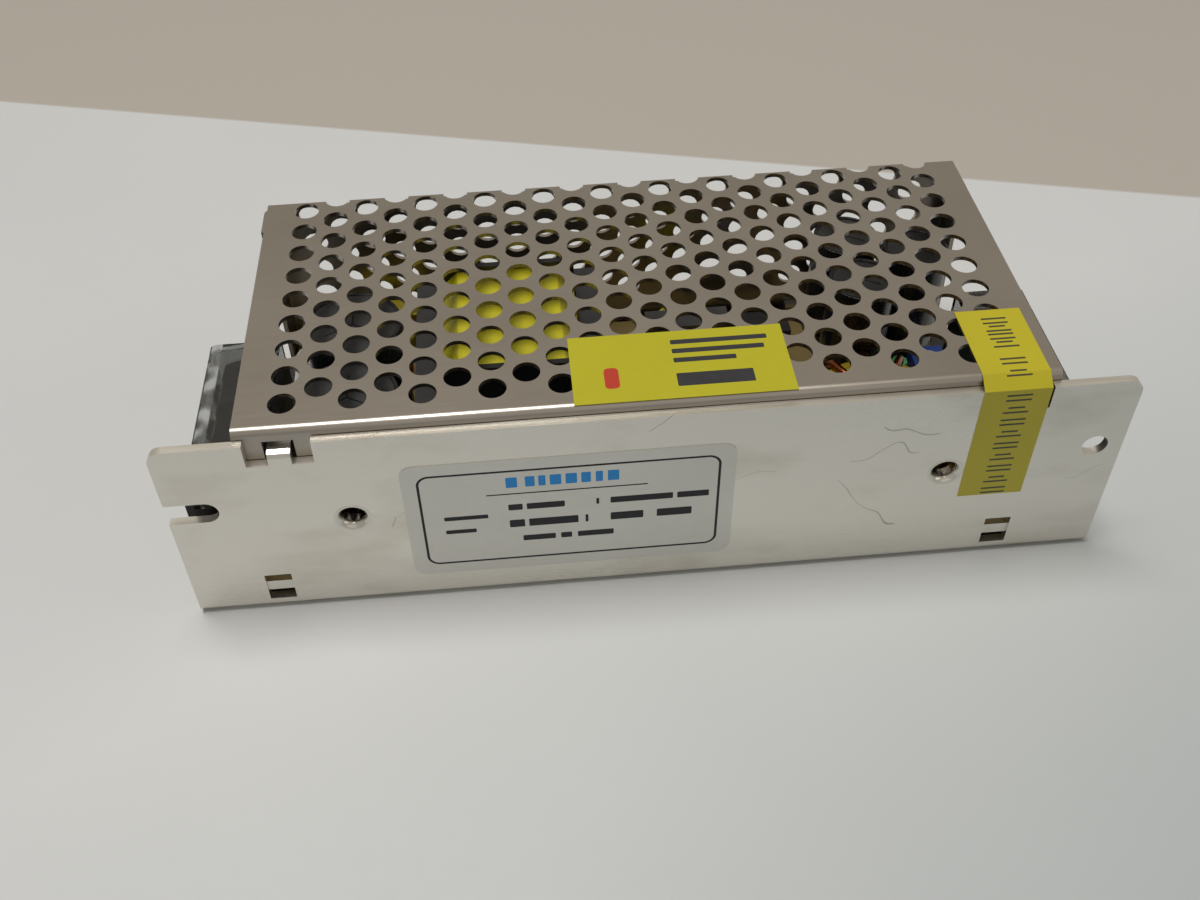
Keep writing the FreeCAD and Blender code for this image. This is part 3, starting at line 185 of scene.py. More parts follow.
def add_node(tree, kind, inputs=None, **settings):
    """Add a shader node. An input is a constant, or a (node, output name) pair to link."""
    node = tree.nodes.new("ShaderNode" + kind)
    for name, value in settings.items():
        setattr(node, name, value)
    for name, value in (inputs or {}).items():
        socket = node.inputs[name]
        if isinstance(value, tuple) and isinstance(value[0], bpy.types.Node):
            tree.links.new(value[0].outputs[value[1]], socket)
        else:
            socket.default_value = value
    return node


def maths(tree, operation, first, second=0.0, third=0.0):
    """One step of arithmetic on constants or links."""
    node = add_node(tree, "Math", {0: first, 1: second, 2: third}, operation=operation)
    return (node, 0)


def new_material(name):
    """An empty material with its shader, output and place coordinates."""
    material = bpy.data.materials.new(name)
    material.use_nodes = True
    tree = material.node_tree
    tree.nodes.clear()
    shader = add_node(tree, "BsdfPrincipled")
    add_node(tree, "OutputMaterial", {"Surface": (shader, "BSDF")})
    place = add_node(tree, "TexCoord")
    return material, tree, shader, (place, "Object")


def noise(tree, place, size, stretch=(1, 1, 1), detail=4.0):
    """Noise whose grains are about size mm across, longer along a stretched axis."""
    scale = [1 / (MM * size * s) for s in stretch]
    mapped = add_node(tree, "Mapping", {"Vector": place, "Scale": scale})
    texture = add_node(tree, "TexNoise", {"Vector": (mapped, "Vector"), "Scale": 1.0,
                                          "Detail": detail})
    return (texture, "Fac")


def between(tree, value, low=0.0, high=1.0, from_low=0.3, from_high=0.7):
    """Spread a 0 to 1 value over a range."""
    node = add_node(tree, "MapRange", {
        "Value": value, "From Min": from_low, "From Max": from_high, "To Min": low, "To Max": high})
    return (node, "Result")


def blend(tree, factor, first, second):
    """Mix two colours, each a colour or a link."""
    node = add_node(tree, "Mix", {0: factor, 6: first, 7: second}, data_type="RGBA")
    return (node, 2)


def bump(tree, height, depth, strength):
    """Surface relief from a height, depth mm deep, as a normal."""
    node = add_node(tree, "Bump", {"Height": height, "Distance": MM * depth, "Strength": strength})
    return (node, "Normal")


def connect(tree, shader, **inputs):
    """Set the shader's sockets, by name with underscores, to constants or links."""
    for name, value in inputs.items():
        socket = shader.inputs[name.replace("_", " ")]
        if isinstance(value, tuple):
            tree.links.new(value[0].outputs[value[1]], socket)
        else:
            socket.default_value = value


# Materials

def rolled_aluminium():
    """Bare rolled sheet: a pale mirror blurred along its grain, with a few fine scratches."""
    material, tree, shader, place = new_material("rolled aluminium")
    grain = noise(tree, place, size=0.22, stretch=(60, 1, 1))
    cloud = noise(tree, place, size=22, stretch=(2, 1, 1))
    scratch = scratches(tree, place)
    rough = maths(tree, "ADD", between(tree, grain, low=0.25, high=0.36),
                  between(tree, cloud, low=-0.03, high=0.06))
    height = maths(tree, "SUBTRACT", grain, maths(tree, "MULTIPLY", scratch, 1.2))
    patches = noise(tree, place, size=9, stretch=(2, 1, 1), detail=6.0)
    stain = between(tree, patches, from_low=0.52, from_high=0.72)
    clean = blend(tree, stain, tint("aluminium"), tint("aluminium_stain"))
    dull = blend(tree, maths(tree, "MULTIPLY", scratch, 0.6), clean, tint("scratch"))
    connect(tree, shader, Base_Color=dull, Metallic=1.0, Roughness=rough,
            Normal=bump(tree, height, depth=0.006, strength=0.4))
    return material


def scratches(tree, place):
    """Thin hair lines: the edges of long, warped cells, kept only in patches."""
    line_width, patch_level = 0.0026, 0.6
    warp = add_node(tree, "TexNoise", {"Vector": place, "Scale": 45.0, "Detail": 2.0})
    pushed = add_node(tree, "VectorMath", {0: (warp, "Color"), "Scale": 0.03}, operation="SCALE")
    moved = add_node(tree, "VectorMath", {0: place, 1: (pushed, "Vector")}, operation="ADD")
    mapped = add_node(tree, "Mapping", {
        "Vector": (moved, "Vector"), "Rotation": (0, 0.5, 0), "Scale": (22, 22, 42)})
    cells = add_node(tree, "TexVoronoi", {"Vector": (mapped, "Vector"), "Scale": 1.0},
                     feature="DISTANCE_TO_EDGE")
    line = maths(tree, "LESS_THAN", (cells, "Distance"), line_width)
    patch = maths(tree, "GREATER_THAN", noise(tree, place, size=26, detail=1.0), patch_level)
    return maths(tree, "MULTIPLY", line, patch)


def plated_cover():
    """Plated steel sheet: warm brownish grey with a satin shine and faint clouds."""
    material, tree, shader, place = new_material("plated steel sheet")
    grain = noise(tree, place, size=0.3, stretch=(25, 1, 1))
    cloud = noise(tree, place, size=30)
    colour = blend(tree, between(tree, cloud), tint("cover"), tint("cover_cloud"))
    connect(tree, shader, Base_Color=colour, Metallic=1.0,
            Roughness=between(tree, grain, low=0.29, high=0.34),
            Normal=bump(tree, grain, depth=0.002, strength=0.25))
    return material


def plain(name, key, roughness, metallic, ior):
    """A surface of one colour whose fine grain and soft clouds break up its shine."""
    material, tree, shader, place = new_material(name)
    grain = noise(tree, place, size=0.4)
    cloud = between(tree, noise(tree, place, size=12), high=0.25)
    connect(tree, shader, Base_Color=blend(tree, cloud, tint(key), darker(key, 0.6)),
            Metallic=metallic, IOR=ior,
            Roughness=between(tree, grain, roughness - 0.05, roughness + 0.05),
            Normal=bump(tree, grain, depth=0.01, strength=0.5))
    return material


def clear_plastic():
    """Clear moulding with a smoky tint. Near its end corners, pale streaks are painted highlights,
    colour standing in for light caught in the moulding.
    """
    near_end, far_end, depth = 2.7, 0.7, 1.6
    material, tree, shader, place = new_material("clear polycarbonate")
    low, high = corners("input_terminal_cover")[0][0], corners("output_terminal_cover")[1][0]
    roof = corners("input_terminal_cover")[1][2]
    split = add_node(tree, "SeparateXYZ", {"Vector": place})
    middle, reach = (low + high) / 2, (high - low) / 2
    # Painted highlight: pale streaks in a band near each end, on the upper part, take the place of
    # the clear tint
    out = maths(tree, "ABSOLUTE", maths(tree, "SUBTRACT", (split, "X"), middle * MM))
    band = maths(tree, "MULTIPLY", maths(tree, "GREATER_THAN", out, (reach - near_end) * MM),
                 maths(tree, "LESS_THAN", out, (reach - far_end) * MM))
    grain = noise(tree, place, size=3.4, stretch=(1, 1, 9), detail=0.0)
    streak = between(tree, grain, low=0.12, high=0.6, from_low=0.4, from_high=0.64)
    upper = maths(tree, "GREATER_THAN", (split, "Z"), (roof - depth) * MM)
    pale = maths(tree, "MULTIPLY", maths(tree, "MULTIPLY", band, upper), streak)
    connect(tree, shader, Base_Color=blend(tree, pale, tint("clear"), tint("lid_painted_highlight")),
            IOR=1.58, Transmission_Weight=maths(tree, "SUBTRACT", 1.0, pale),
            Roughness=between(tree, noise(tree, place, size=3.0), low=0.02, high=0.08))
    return material


def wound_copper():
    """Enamelled wire: warm copper under a clear coat."""
    material, tree, shader, place = new_material("enamelled copper")
    cloud = between(tree, noise(tree, place, size=5))
    connect(tree, shader, Base_Color=blend(tree, cloud, tint("copper"), tint("copper_dark")),
            Metallic=1.0, Roughness=0.28, Coat_Weight=0.6, Coat_Roughness=0.1)
    return material


def bar(tree, flat, centre, size, corner):
    """1 inside a rounded bar of a print, else 0. Places and sizes are in mm on the label."""
    sides = []
    for axis in (0, 1):
        offset = maths(tree, "SUBTRACT", flat[axis], centre[axis] * MM)
        reach = maths(tree, "SUBTRACT", maths(tree, "ABSOLUTE", offset),
                      (size[axis] / 2 - corner) * MM)
        sides.append(maths(tree, "MAXIMUM", reach, 0.0))
    squares = [maths(tree, "POWER", side, 2.0) for side in sides]
    distance = maths(tree, "SQRT", maths(tree, "ADD", squares[0], squares[1]))
    return maths(tree, "LESS_THAN", distance, max(corner, 0.01) * MM)


def printed(name, base, roughness, axes, prints, metallic=0.0):
    """A coated label whose print is bars of colour.

    A print is (colour, bars), and a bar is (middle, size, corner, line), in mm. A line of 0
    fills the bar. axes name the label's own directions, and Y+Z follows the fold of a strip.
    """
    material, tree, shader, place = new_material(name)
    split = add_node(tree, "SeparateXYZ", {"Vector": place})
    flat = [maths(tree, "ADD", (split, axis[0]), (split, axis[2])) if "+" in axis else (split, axis)
            for axis in axes]
    fibre = noise(tree, place, size=1.5)
    cloud = between(tree, noise(tree, place, size=14), high=0.35)
    colour = blend(tree, cloud, tint(base), darker(base, 0.82))
    for ink, bars in prints:
        for centre, size, corner, line in bars:
            mask = bar(tree, flat, centre, size, corner)
            if line:
                inner = bar(tree, flat, centre, (size[0] - 2 * line, size[1] - 2 * line),
                            max(corner - line, 0.0))
                mask = maths(tree, "SUBTRACT", mask, inner)
            colour = blend(tree, mask, colour, tint(ink))
    connect(tree, shader, Base_Color=colour, Metallic=metallic, Coat_Weight=0.12,
            Coat_Roughness=0.25, Roughness=between(tree, fibre, roughness - 0.06, roughness + 0.06),
            Normal=bump(tree, fibre, depth=0.01, strength=0.4))
    return material


# Rows of print: bars as (start from the label's middle, length), then their height and the
# row's place above the middle, in mm
NAMEPLATE_HEADING = (((-10.6, 1.9), (-7.4, 1.6), (-5.2, 1.2), (-3.3, 1.9), (-0.7, 1.9), (1.9, 1.6),
                      (4.3, 1.2), (6.3, 1.9)), 2.5, 8.4)
NAMEPLATE_ROWS = (
    (((-10.5, 2.4), (-7.4, 6.4), (4.3, 0.5), (6.7, 10.6), (18.0, 5.4)), 1.5, 2.2),
    (((-10.5, 2.6), (-7.2, 8.4), (2.4, 0.5), (6.7, 5.6), (14.6, 6.0)), 1.9, -2.0),
    (((-8.4, 5.6), (-1.9, 1.9), (1.0, 6.2)), 1.4, -6.0),
    (((-21.4, 7.4),), 1.0, 0.4),
    (((-21.4, 5.2),), 1.0, -3.0),
)
STICKER_ROWS = (
    (((-1.0, 12.6),), 3.0, -3.8),
    (((-1.0, 16.2),), 1.1, 5.2),
    (((-1.0, 15.4),), 1.1, 3.0),
    (((-1.0, 10.4),), 1.1, 0.8),
)
PRINT_CORNER = 0.2


def rows_of(x, y, *rows):
    """The bars of some rows of print, around a label's middle."""
    return [((x + start + length / 2, y + up), (length, height), PRINT_CORNER, 0.0)
            for bars, height, up in rows for start, length in bars]


def nameplate_print():
    """Silvery coated film: a dark rounded frame, a blue heading, a rule and rows of bars."""
    margin, corner, line = 5.0, 2.2, 0.45
    (x, _, z), (length, _, height) = middle_and_size("nameplate_label")
    frame_line = ((x, z), (length - margin, height - margin), corner, line)
    rule = ((x - 0.5, z + 5.6), (27.0, 0.3), 0.1, 0.0)
    return printed("silvered film label", "nameplate", 0.34, ("X", "Z"), [
        ("print_dark", [frame_line, rule] + rows_of(x, z, *NAMEPLATE_ROWS)),
        ("print_blue", rows_of(x, z, NAMEPLATE_HEADING)),
    ], metallic=0.8)


def sticker_print():
    """Yellow coated paper with a bold bar, thin rows and a small red field."""
    (x, y, _), _ = middle_and_size("cover_label")
    red_field = ((x - 11.5, y - 2.4), (2.4, 4.8), 0.8, 0.0)
    return printed("yellow coated paper", "sticker", 0.38, ("X", "Y"), [
        ("print_dark", rows_of(x, y, *STICKER_ROWS)),
        ("print_red", [red_field]),
    ])


def strip_print():
    """Yellow brittle paper strip with pairs of thin dark bars along its length."""
    (x, _, _), _ = middle_and_size("seal_strip")
    low, high = corners("seal_strip")
    top, fold = high[2], low[1] + 0.1
    length = high[1] - fold
    long_bar, shorter, thick, half_pair = 4.3, 1.5, 0.42, 0.55
    ends = [top + high[1] - length * share for share in (0.16, 0.27, 0.38, 0.49, 0.72, 0.88)]
    ends += [fold + top - 3.6 - 2.8 * index for index in range(9)]
    marks = []
    for index, end in enumerate(ends):
        for step, reach in ((-half_pair, long_bar), (half_pair, long_bar - shorter * (index % 2))):
            marks.append(((x + 0.4, end + step), (reach, thick), 0.15, 0.0))
    return printed("brittle paper strip", "strip", 0.45, ("X", "Y+Z"), [("strip_print", marks)])


# key of the colour, name, roughness, metallic, index of refraction
PLAIN_MATERIALS = (
    ("zinc", "zinc plated steel", 0.3, 1.0, 1.5),
    ("pressed", "pressed aluminium", 0.2, 1.0, 1.5),
    ("tin", "tinned brass", 0.35, 1.0, 1.5),
    ("can_top", "aluminium can", 0.35, 1.0, 1.5),
    ("black", "black polybutylene", 0.42, 0.0, 1.52),
    ("package", "black epoxy", 0.55, 0.0, 1.55),
    ("board", "phenolic laminate", 0.5, 0.0, 1.52),
    ("ferrite", "sintered ferrite", 0.6, 0.0, 1.9),
    ("tape", "polyester tape", 0.25, 0.0, 1.57),
    ("sleeve", "shrunk vinyl sleeve", 0.28, 0.0, 1.53),
    ("film_box", "filled polyester box", 0.3, 0.0, 1.53),
    ("disc", "blue epoxy coat", 0.25, 0.0, 1.53),
    ("thermistor", "green black epoxy coat", 0.35, 0.0, 1.53),
    ("pad", "silicone pad", 0.7, 0.0, 1.41),
    ("powder", "painted iron powder ring", 0.4, 0.0, 1.5),
    ("fuse", "ceramic tube", 0.35, 0.0, 1.6),
    ("trimmer", "blue moulding", 0.4, 0.0, 1.5),
    ("rotor", "white moulding", 0.4, 0.0, 1.5),
    ("lamp", "tinted epoxy", 0.15, 0.0, 1.53),
    ("film", "insulating film", 0.3, 0.0, 1.5),
)
MATERIALS = {}


def make_materials():
    """Fill MATERIALS, which the pieces take theirs from."""
    MATERIALS.update(
        aluminium=rolled_aluminium(), cover=plated_cover(), clear=clear_plastic(),
        copper=wound_copper(), nameplate=nameplate_print(), sticker=sticker_print(),
        strip=strip_print())
    for key, name, roughness, metallic, ior in PLAIN_MATERIALS:
        MATERIALS[key] = plain(name, key, roughness, metallic, ior)


# Mesh helpers

def metres(values):
    """Lengths in mm as metres."""
    return [value * MM for value in values]


def corners(node):
    """A node's lowest and highest corner in mm."""
    low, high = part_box(node)
    return [value / MM for value in low], [value / MM for value in high]


def middle_and_size(node):
    """The middle of a node's box and its lengths, in mm."""
    low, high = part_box(node)
    return [(a + b) / 2 / MM for a, b in zip(low, high)], [(b - a) / MM for a, b in zip(low, high)]


def only(thing):
    """Deselect everything, then select and activate one object."""
    bpy.ops.object.select_all(action="DESELECT")
    thing.select_set(True)
    bpy.context.view_layer.objects.active = thing
    return thing


def settle(thing):
    """Apply place, turn and size, so the object sits at the origin."""
    only(thing)
    bpy.ops.object.transform_apply(location=True, rotation=True, scale=True)
    return thing


def made(name, material=None):
    """Name and settle the object that an operator has just added."""
    thing = bpy.context.active_object
    thing.name = name
    thing.data.name = name
    settle(thing)
    if material:
        thing.data.materials.append(MATERIALS[material])
    return thing


def block(name, low, high):
    """A box between two corners in mm."""
    middle = [(a + b) / 2 * MM for a, b in zip(low, high)]
    bpy.ops.mesh.primitive_cube_add(size=1, location=middle)
    bpy.context.active_object.scale = [(b - a) * MM for a, b in zip(low, high)]
    return made(name)


TURNS = {"Y": (-math.pi / 2, 0, 0), "Z": (0, 0, 0)}


def rod(name, centre, radius, length, axis="Z", segments=32, material=None):
    """A cylinder by its middle in mm."""
    bpy.ops.mesh.primitive_cylinder_add(
        vertices=segments, radius=radius * MM, depth=length * MM,
        location=metres(centre), rotation=TURNS[axis])
    return made(name, material)


def torus(centre, major, minor, segments, sides):
    """A ring around Z by its middle, its radius and its tube's radius in mm."""
    bpy.ops.mesh.primitive_torus_add(
        major_segments=segments, minor_segments=sides, major_radius=major * MM,
        minor_radius=minor * MM, location=metres(centre))
    return settle(bpy.context.active_object)


def chain(name, points):
    """An object of edges through points in mm."""
    mesh = bpy.data.meshes.new(name)
    mesh.from_pydata([metres(point) for point in points],
                     [(index, index + 1) for index in range(len(points) - 1)], [])
    thing = bpy.data.objects.new(name, mesh)
    bpy.context.collection.objects.link(thing)
    return thing


def apply(thing, kind, **settings):
    """Add a modifier, set it and apply it."""
    only(thing)
    modifier = thing.modifiers.new(kind.lower(), kind)
    for name, value in settings.items():
        setattr(modifier, name, value)
    bpy.ops.object.modifier_apply(modifier=modifier.name)
    return thing


def soften(thing, width, segments=2, angle=40):
    """Round the edges sharper than an angle, by a width in mm, and smooth the rest."""
    apply(thing, "BEVEL", width=width * MM, segments=segments, limit_method="ANGLE",
          angle_limit=math.radians(angle), harden_normals=False)
    return smooth(thing)


def smooth(thing, angle=35):
    """Shade smooth across edges flatter than an angle."""
    only(thing)
    bpy.ops.object.shade_smooth_by_angle(angle=math.radians(angle))
    return thing


def carve(thing, *cutters, operation="DIFFERENCE"):
    """Cut each cutter out of an object, or unite them, and remove the cutter."""
    for cutter in cutters:
        apply(thing, "BOOLEAN", operation=operation, object=cutter, solver="EXACT")
        bpy.data.objects.remove(cutter, do_unlink=True)
    return thing


def join(name, *things):
    """Make one object of several, under a new name."""
    only(things[0])
    for thing in things[1:]:
        thing.select_set(True)
    bpy.ops.object.join()
    things[0].name = name
    things[0].data.name = name
    return things[0]


def repeat(thing, step, count):
    """Copies in a row, step in mm."""
    return apply(thing, "ARRAY", count=count, use_relative_offset=False, use_constant_offset=True,
                 constant_offset_displace=metres(step))


def ring_copies(thing, centre, count, name):
    """Copies turned about an upright axis through centre, joined."""
    copies = [thing]
    for index in range(1, count):
        only(thing)
        bpy.ops.object.duplicate()
        copy = bpy.context.active_object
        bpy.ops.transform.rotate(value=2 * math.pi * index / count, orient_axis="Z",
                                 center_override=metres(centre))
        copies.append(settle(copy))
    return join(name, *copies)


def grid(first, steps, counts, radius, length, axis, segments):
    """Rows and columns of one cutting rod. steps and counts are for two directions."""
    cutter = rod("punch", first, radius, length, axis, segments)
    for step, count in zip(steps, counts):
        repeat(cutter, step, count)
    return cutter


def edit(thing, operator, **settings):
    """Run one mesh operator on the whole of an object."""
    only(thing)
    bpy.ops.object.mode_set(mode="EDIT")
    bpy.ops.mesh.select_all(action="SELECT")
    operator(**settings)
    bpy.ops.object.mode_set(mode="OBJECT")
    return thing


def outward(thing):
    """Turn all faces outwards."""
    return edit(thing, bpy.ops.mesh.normals_make_consistent, inside=False)


def folded(name, points, run, sheet, radius, side, material):
    """A folded sheet, from its outer line through the points and its run, all in mm."""
    thing = edit(chain(name, points), bpy.ops.mesh.extrude_region_move,
                 TRANSFORM_OT_translate={"value": metres(run)})
    apply(thing, "BEVEL", width=radius * MM, segments=6, limit_method="ANGLE",
          angle_limit=math.radians(30))
    apply(thing, "SOLIDIFY", thickness=sheet * MM, offset=side, use_even_offset=True)
    outward(thing)
    thing.data.materials.append(MATERIALS[material])
    return thing


def place_piece(thing, body, slot, *nodes):
    """Tie a finished piece to its body, in place of the nodes it stands for. The slot it is given
    is not used.
    """
    settle(thing)
    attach(thing, body)
    if nodes:
        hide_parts(*nodes)
    return thing


def dress(node, material, edge=0.0, segments=2, angle=40):
    """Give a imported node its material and, by a modifier, rounded edges. Its form stays."""
    thing = frame["nodes"][node]
    thing.data.materials.clear()
    thing.data.materials.append(MATERIALS[material])
    if edge:
        modifier = thing.modifiers.new("edges", "BEVEL")
        modifier.width = edge * MM
        modifier.segments = segments
        modifier.limit_method = "ANGLE"
        modifier.angle_limit = math.radians(angle)


# Screws

HEAD_ROUNDING = 0.42
CROSS_LENGTH, CROSS_WIDTH, CROSS_DEPTH = 0.62, 0.14, 1.1
TERMINAL_STEM, BOARD_STEM = 1.42, 1.45
THREAD_PITCH, THREAD_DEPTH = 0.5, 0.14
COVER_SCREW_X, COVER_SCREW_HEAD = 42.0, (2.85, 0.9)


def cross_screw(name, centre, head, stem, axis="Z"):
    """A pan head screw. centre is under its head, head and stem are (radius, length) in mm."""
    top = rod(name, (0, 0, head[1] / 2), head[0], head[1], segments=40, material="zinc")
    group = top.vertex_groups.new(name="rim")
    group.add([v.index for v in top.data.vertices if v.co.z > head[1] / 2 * MM], 1.0, "REPLACE")
    apply(top, "BEVEL", width=HEAD_ROUNDING * head[1] * MM, segments=5, limit_method="VGROUP",
          vertex_group="rim")
    long, narrow = CROSS_LENGTH * head[0], CROSS_WIDTH * head[0]
    slots = [block("slot", (-x, -y, head[1] - CROSS_DEPTH), (x, y, head[1] + 1))
             for x, y in ((long, narrow), (narrow, long))]
    carve(top, *slots)
    soften(top, 0.06, segments=1, angle=50)
    screw = join(name, top, threaded_stem(*stem))
    screw.rotation_euler = TURNS[axis]
    screw.location = metres(centre)
    return settle(screw)


def threaded_stem(radius, length):
    """A rod below the origin with thread rings cut into it."""
    thing = rod("stem", (0, 0, -length / 2), radius, length + 0.02, material="zinc")
    ring = torus((0, 0, -(length - 0.3)), radius + 0.02, THREAD_DEPTH, segments=32, sides=4)
    repeat(ring, (0, 0, THREAD_PITCH), max(int(length / THREAD_PITCH) - 1, 1))
    return smooth(carve(thing, ring))


def upright_screw(name, node, x, head, stem):
    """A screw that stands in its node's box at x. head is (radius, length), stem a radius."""
    low, high = corners(node)
    under = high[2] - head[1]
    return cross_screw(name, (x, (low[1] + high[1]) / 2, under), head, (stem, under - low[2]))


def cover_screw(name, node, x, head, stem):
    """The same for a screw that goes into the cover's far side."""
    low, high = corners(node)
    under = high[1] - head[1]
    return cross_screw(name, (x, under, (low[2] + high[2]) / 2), head, (stem, under - low[1]), "Y")


# Case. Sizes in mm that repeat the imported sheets

TOP_INSET = 1.0
FLANGE_HEIGHT = 9.5
TAB_FOOT, TAB_OVERLAP, TAB_REACH, TAB_LOSS = 2.6, 0.5, 7.3, 4.2
HOLE_COLUMNS, FIRST_ROW = 11, -24.0
# Even and odd columns: offset in columns, start in pitches, holes in a column
TOP_HOLES = ((0, 0, 9), (1, 0.5, 9))
SIDE_HOLES = ((0, 0.5, 4), (1, 0, 5))
TOP_PUNCH, SIDE_PUNCH = 4, 3.2
# Windows for the chassis's tongues: place, half a width, foot and roof below the top
WINDOW_X, WINDOW_REACH, WINDOW_FOOT, WINDOW_ROOF = 59.6, 2.5, 8.8, 2.4
# Dishes under the cover's screws
SEAT_RADIUS, SEAT_HEIGHT, SEAT_PUNCH = 3.1, 4.8, 3


def make_cover(sizes):
    """The perforated cover: top, near flange, far side and end tabs, with round punched holes."""
    low, high = corners("mesh_cover")
    half = high[0] - TOP_INSET
    near, far, top, foot = low[1], high[1], high[2], low[2]
    sheet, fold = mm(sizes.cover_sheet), mm(sizes.fold_radius)
    shell = folded("perforated_cover", [
        (-half, near, top - FLANGE_HEIGHT), (-half, near, top), (-half, far, top),
        (-half, far, foot),
    ], (2 * half, 0, 0), sheet, fold, 1, "cover")
    for side in (-1, 1):
        tab = folded("end_tab", [
            (side * (half - TAB_OVERLAP), far, TAB_FOOT), (side * high[0], far, TAB_FOOT),
            (side * high[0], far - TAB_REACH, TAB_FOOT),
        ], (0, 0, top - TAB_LOSS), sheet, fold, side, "cover")
        carve(shell, tab, operation="UNION")
    punch_holes(shell, far, top, sizes)
    for side in (-1, 1):
        middle = side * WINDOW_X
        carve(shell, block("window", (middle - WINDOW_REACH, near - 2, top - WINDOW_FOOT),
                           (middle + WINDOW_REACH, near + 2, top - WINDOW_ROOF)))
        carve(shell, rod("seat", (side * COVER_SCREW_X, far, SEAT_HEIGHT), SEAT_RADIUS,
                         SEAT_PUNCH, "Y"))
    apply(shell, "BEVEL", width=sizes.burr, segments=1, limit_method="ANGLE",
          angle_limit=math.radians(50))
    smooth(shell, 40)
    apply(shell, "WEIGHTED_NORMAL", keep_sharp=True, weight=60)
    place_piece(shell, CASE, "cover_steel", "mesh_cover")


def punch_holes(shell, far, top, sizes):
    """Cut the staggered rows of round holes through the top and the far side."""
    pitch, radius = mm(sizes.hole_pitch), mm(sizes.hole_radius)
    column = pitch * math.sqrt(3) / 2
    first = -(HOLE_COLUMNS - 0.5) * column
    for offset, start, rows in TOP_HOLES:
        carve(shell, grid((first + offset * column, FIRST_ROW + start * pitch, top),
                          ((2 * column, 0, 0), (0, pitch, 0)), (HOLE_COLUMNS, rows),
                          radius, TOP_PUNCH, "Z", sizes.top_flats))
    for offset, start, rows in SIDE_HOLES:
        carve(shell, grid((first + offset * column, far, top - start * pitch),
                          ((2 * column, 0, 0), (0, 0, -pitch)), (HOLE_COLUMNS, rows),
                          radius, SIDE_PUNCH, "Y", sizes.side_flats))


def make_chassis(sizes):
    """The bare folded sheet, with smooth pressed linings in its two threaded side holes."""
    dress("chassis", "aluminium", mm(sizes.chassis_edge))
    mount = [spot for spot in frame["record"]["mounts"] if spot["name"] == "side_screws"][0]
    x, y, z = [value / MM for value in mount["pos_m"]]
    half = mount["dims"]["spacing_x_mm"] / 2
    linings = [pressed_rim((x + side * half, y, z), mount["dims"]["hole_r_mm"])
               for side in (-1, 1)]
    place_piece(join("pressed_rims", *linings), CASE, "bright_aluminium")


def pressed_rim(seat, hole):
    """The drawn edge of a side hole. seat is the middle of the hole behind its dish, in mm."""
    # Radius and depth of its section, from the dish inwards
    section = ((3.14, -0.91), (2.94, -0.94), (2.66, -0.86), (2.4, -0.66), (2.2, -0.38),
               (hole - 0.05, -0.1), (hole - 0.14, 0.2), (hole - 0.16, 1.6))
    thing = chain("pressed_rim", [(radius, depth, 0) for radius, depth in section])
    apply(thing, "SCREW", axis="Y", angle=2 * math.pi, steps=40, render_steps=40,
          use_merge_vertices=True, merge_threshold=0.01 * MM)
    apply(thing, "SOLIDIFY", thickness=0.03 * MM, offset=0)
    outward(thing)
    thing.data.materials.append(MATERIALS["pressed"])
    thing.location = metres(seat)
    return smooth(settle(thing), 60)


# Terminals, board and what stands on it

def make_terminals(sizes):
    """The two barrier blocks with contacts, clamp plates, screws and clear covers."""
    head = (mm(sizes.head_radius), mm(sizes.head_height))
    for end in ("input", "output"):
        dress(end + "_terminal_block", "black", mm(sizes.block_edge))
        dress(end + "_terminal_cover", "clear", mm(sizes.lid_edge))
        for index in (1, 2, 3):
            node = "%s_screw_%d" % (end, index)
            low, high = corners(node)
            x = (low[0] + high[0]) / 2
            screw = upright_screw(node + "_round", node, x, head, TERMINAL_STEM)
            place_piece(screw, node + "_body", "plated_steel", node)
    dress("terminal_contacts", "tin", 0.08)
    dress("clamp_plates", "zinc", 0.15)


def make_board(sizes):
    """The board with its sheet and spacers, and the screws of the board and the cover."""
    dress("circuit_board", "board")
    dress("insulation_sheet", "film")
    dress("board_pillars", "zinc")
    low, high = corners("board_screws")
    board_x = high[0] - (high[1] - low[1]) / 2
    board_head = (mm(sizes.head_radius), mm(sizes.head_height))
    for node, make_screw, x, head in (
            ("board_screws", upright_screw, board_x, board_head),
            ("cover_screws", cover_screw, COVER_SCREW_X, COVER_SCREW_HEAD)):
        pair = [make_screw(node, node, side * x, head, BOARD_STEM) for side in (-1, 1)]
        place_piece(join(node + "_round", *pair), CASE, "plated_steel", node)


def make_transformers(sizes):
    """The main and the driver transformer, their windings rounded by tape."""
    dress("transformer_core", "ferrite", mm(sizes.core_edge), segments=3)
    dress("transformer_bobbin", "black", 0.2)
    dress("transformer_winding", "tape", mm(sizes.tape_corner), segments=4, angle=30)
    dress("driver_core", "ferrite", 0.3)
    dress("driver_winding", "tape", mm(sizes.driver_corner), segments=4, angle=30)


# Node, places on the board, radius
CANS = (
    ("bulk_capacitors", ((-50, -16.9), (-50, 1.7)), 8.8),
    ("output_capacitors", ((44.5, 8.5), (44.5, 22), (57, 16.5)), 6.2),
)
SLEEVE_THICKNESS = 0.02
WELL_INSET, WELL_DEPTH = 0.7, 0.6
NECK_HEIGHT, NECK_OUT, NECK_RADIUS = 2.4, 0.35, 0.7
PLATE_INSET, PLATE_DROP, PLATE_SHEET = 0.72, 0.45, 0.4
SCORE_SHARE, SCORE_WIDTH, SCORE_REACH, SCORE_DROP = 0.62, 0.2, 0.5, 0.05


def make_cans(sizes):
    """Round capacitors: shrunk sleeve, turned-in rim, and a scored metal top."""
    for node, places, radius in CANS:
        low, high = corners(node)
        cans = [one_can(node, (x, y, low[2]), radius - SLEEVE_THICKNESS, high[2] - low[2], sizes)
                for x, y in places]
        place_piece(join(node + "_round", *cans), CASE, "capacitor_sleeve", node)


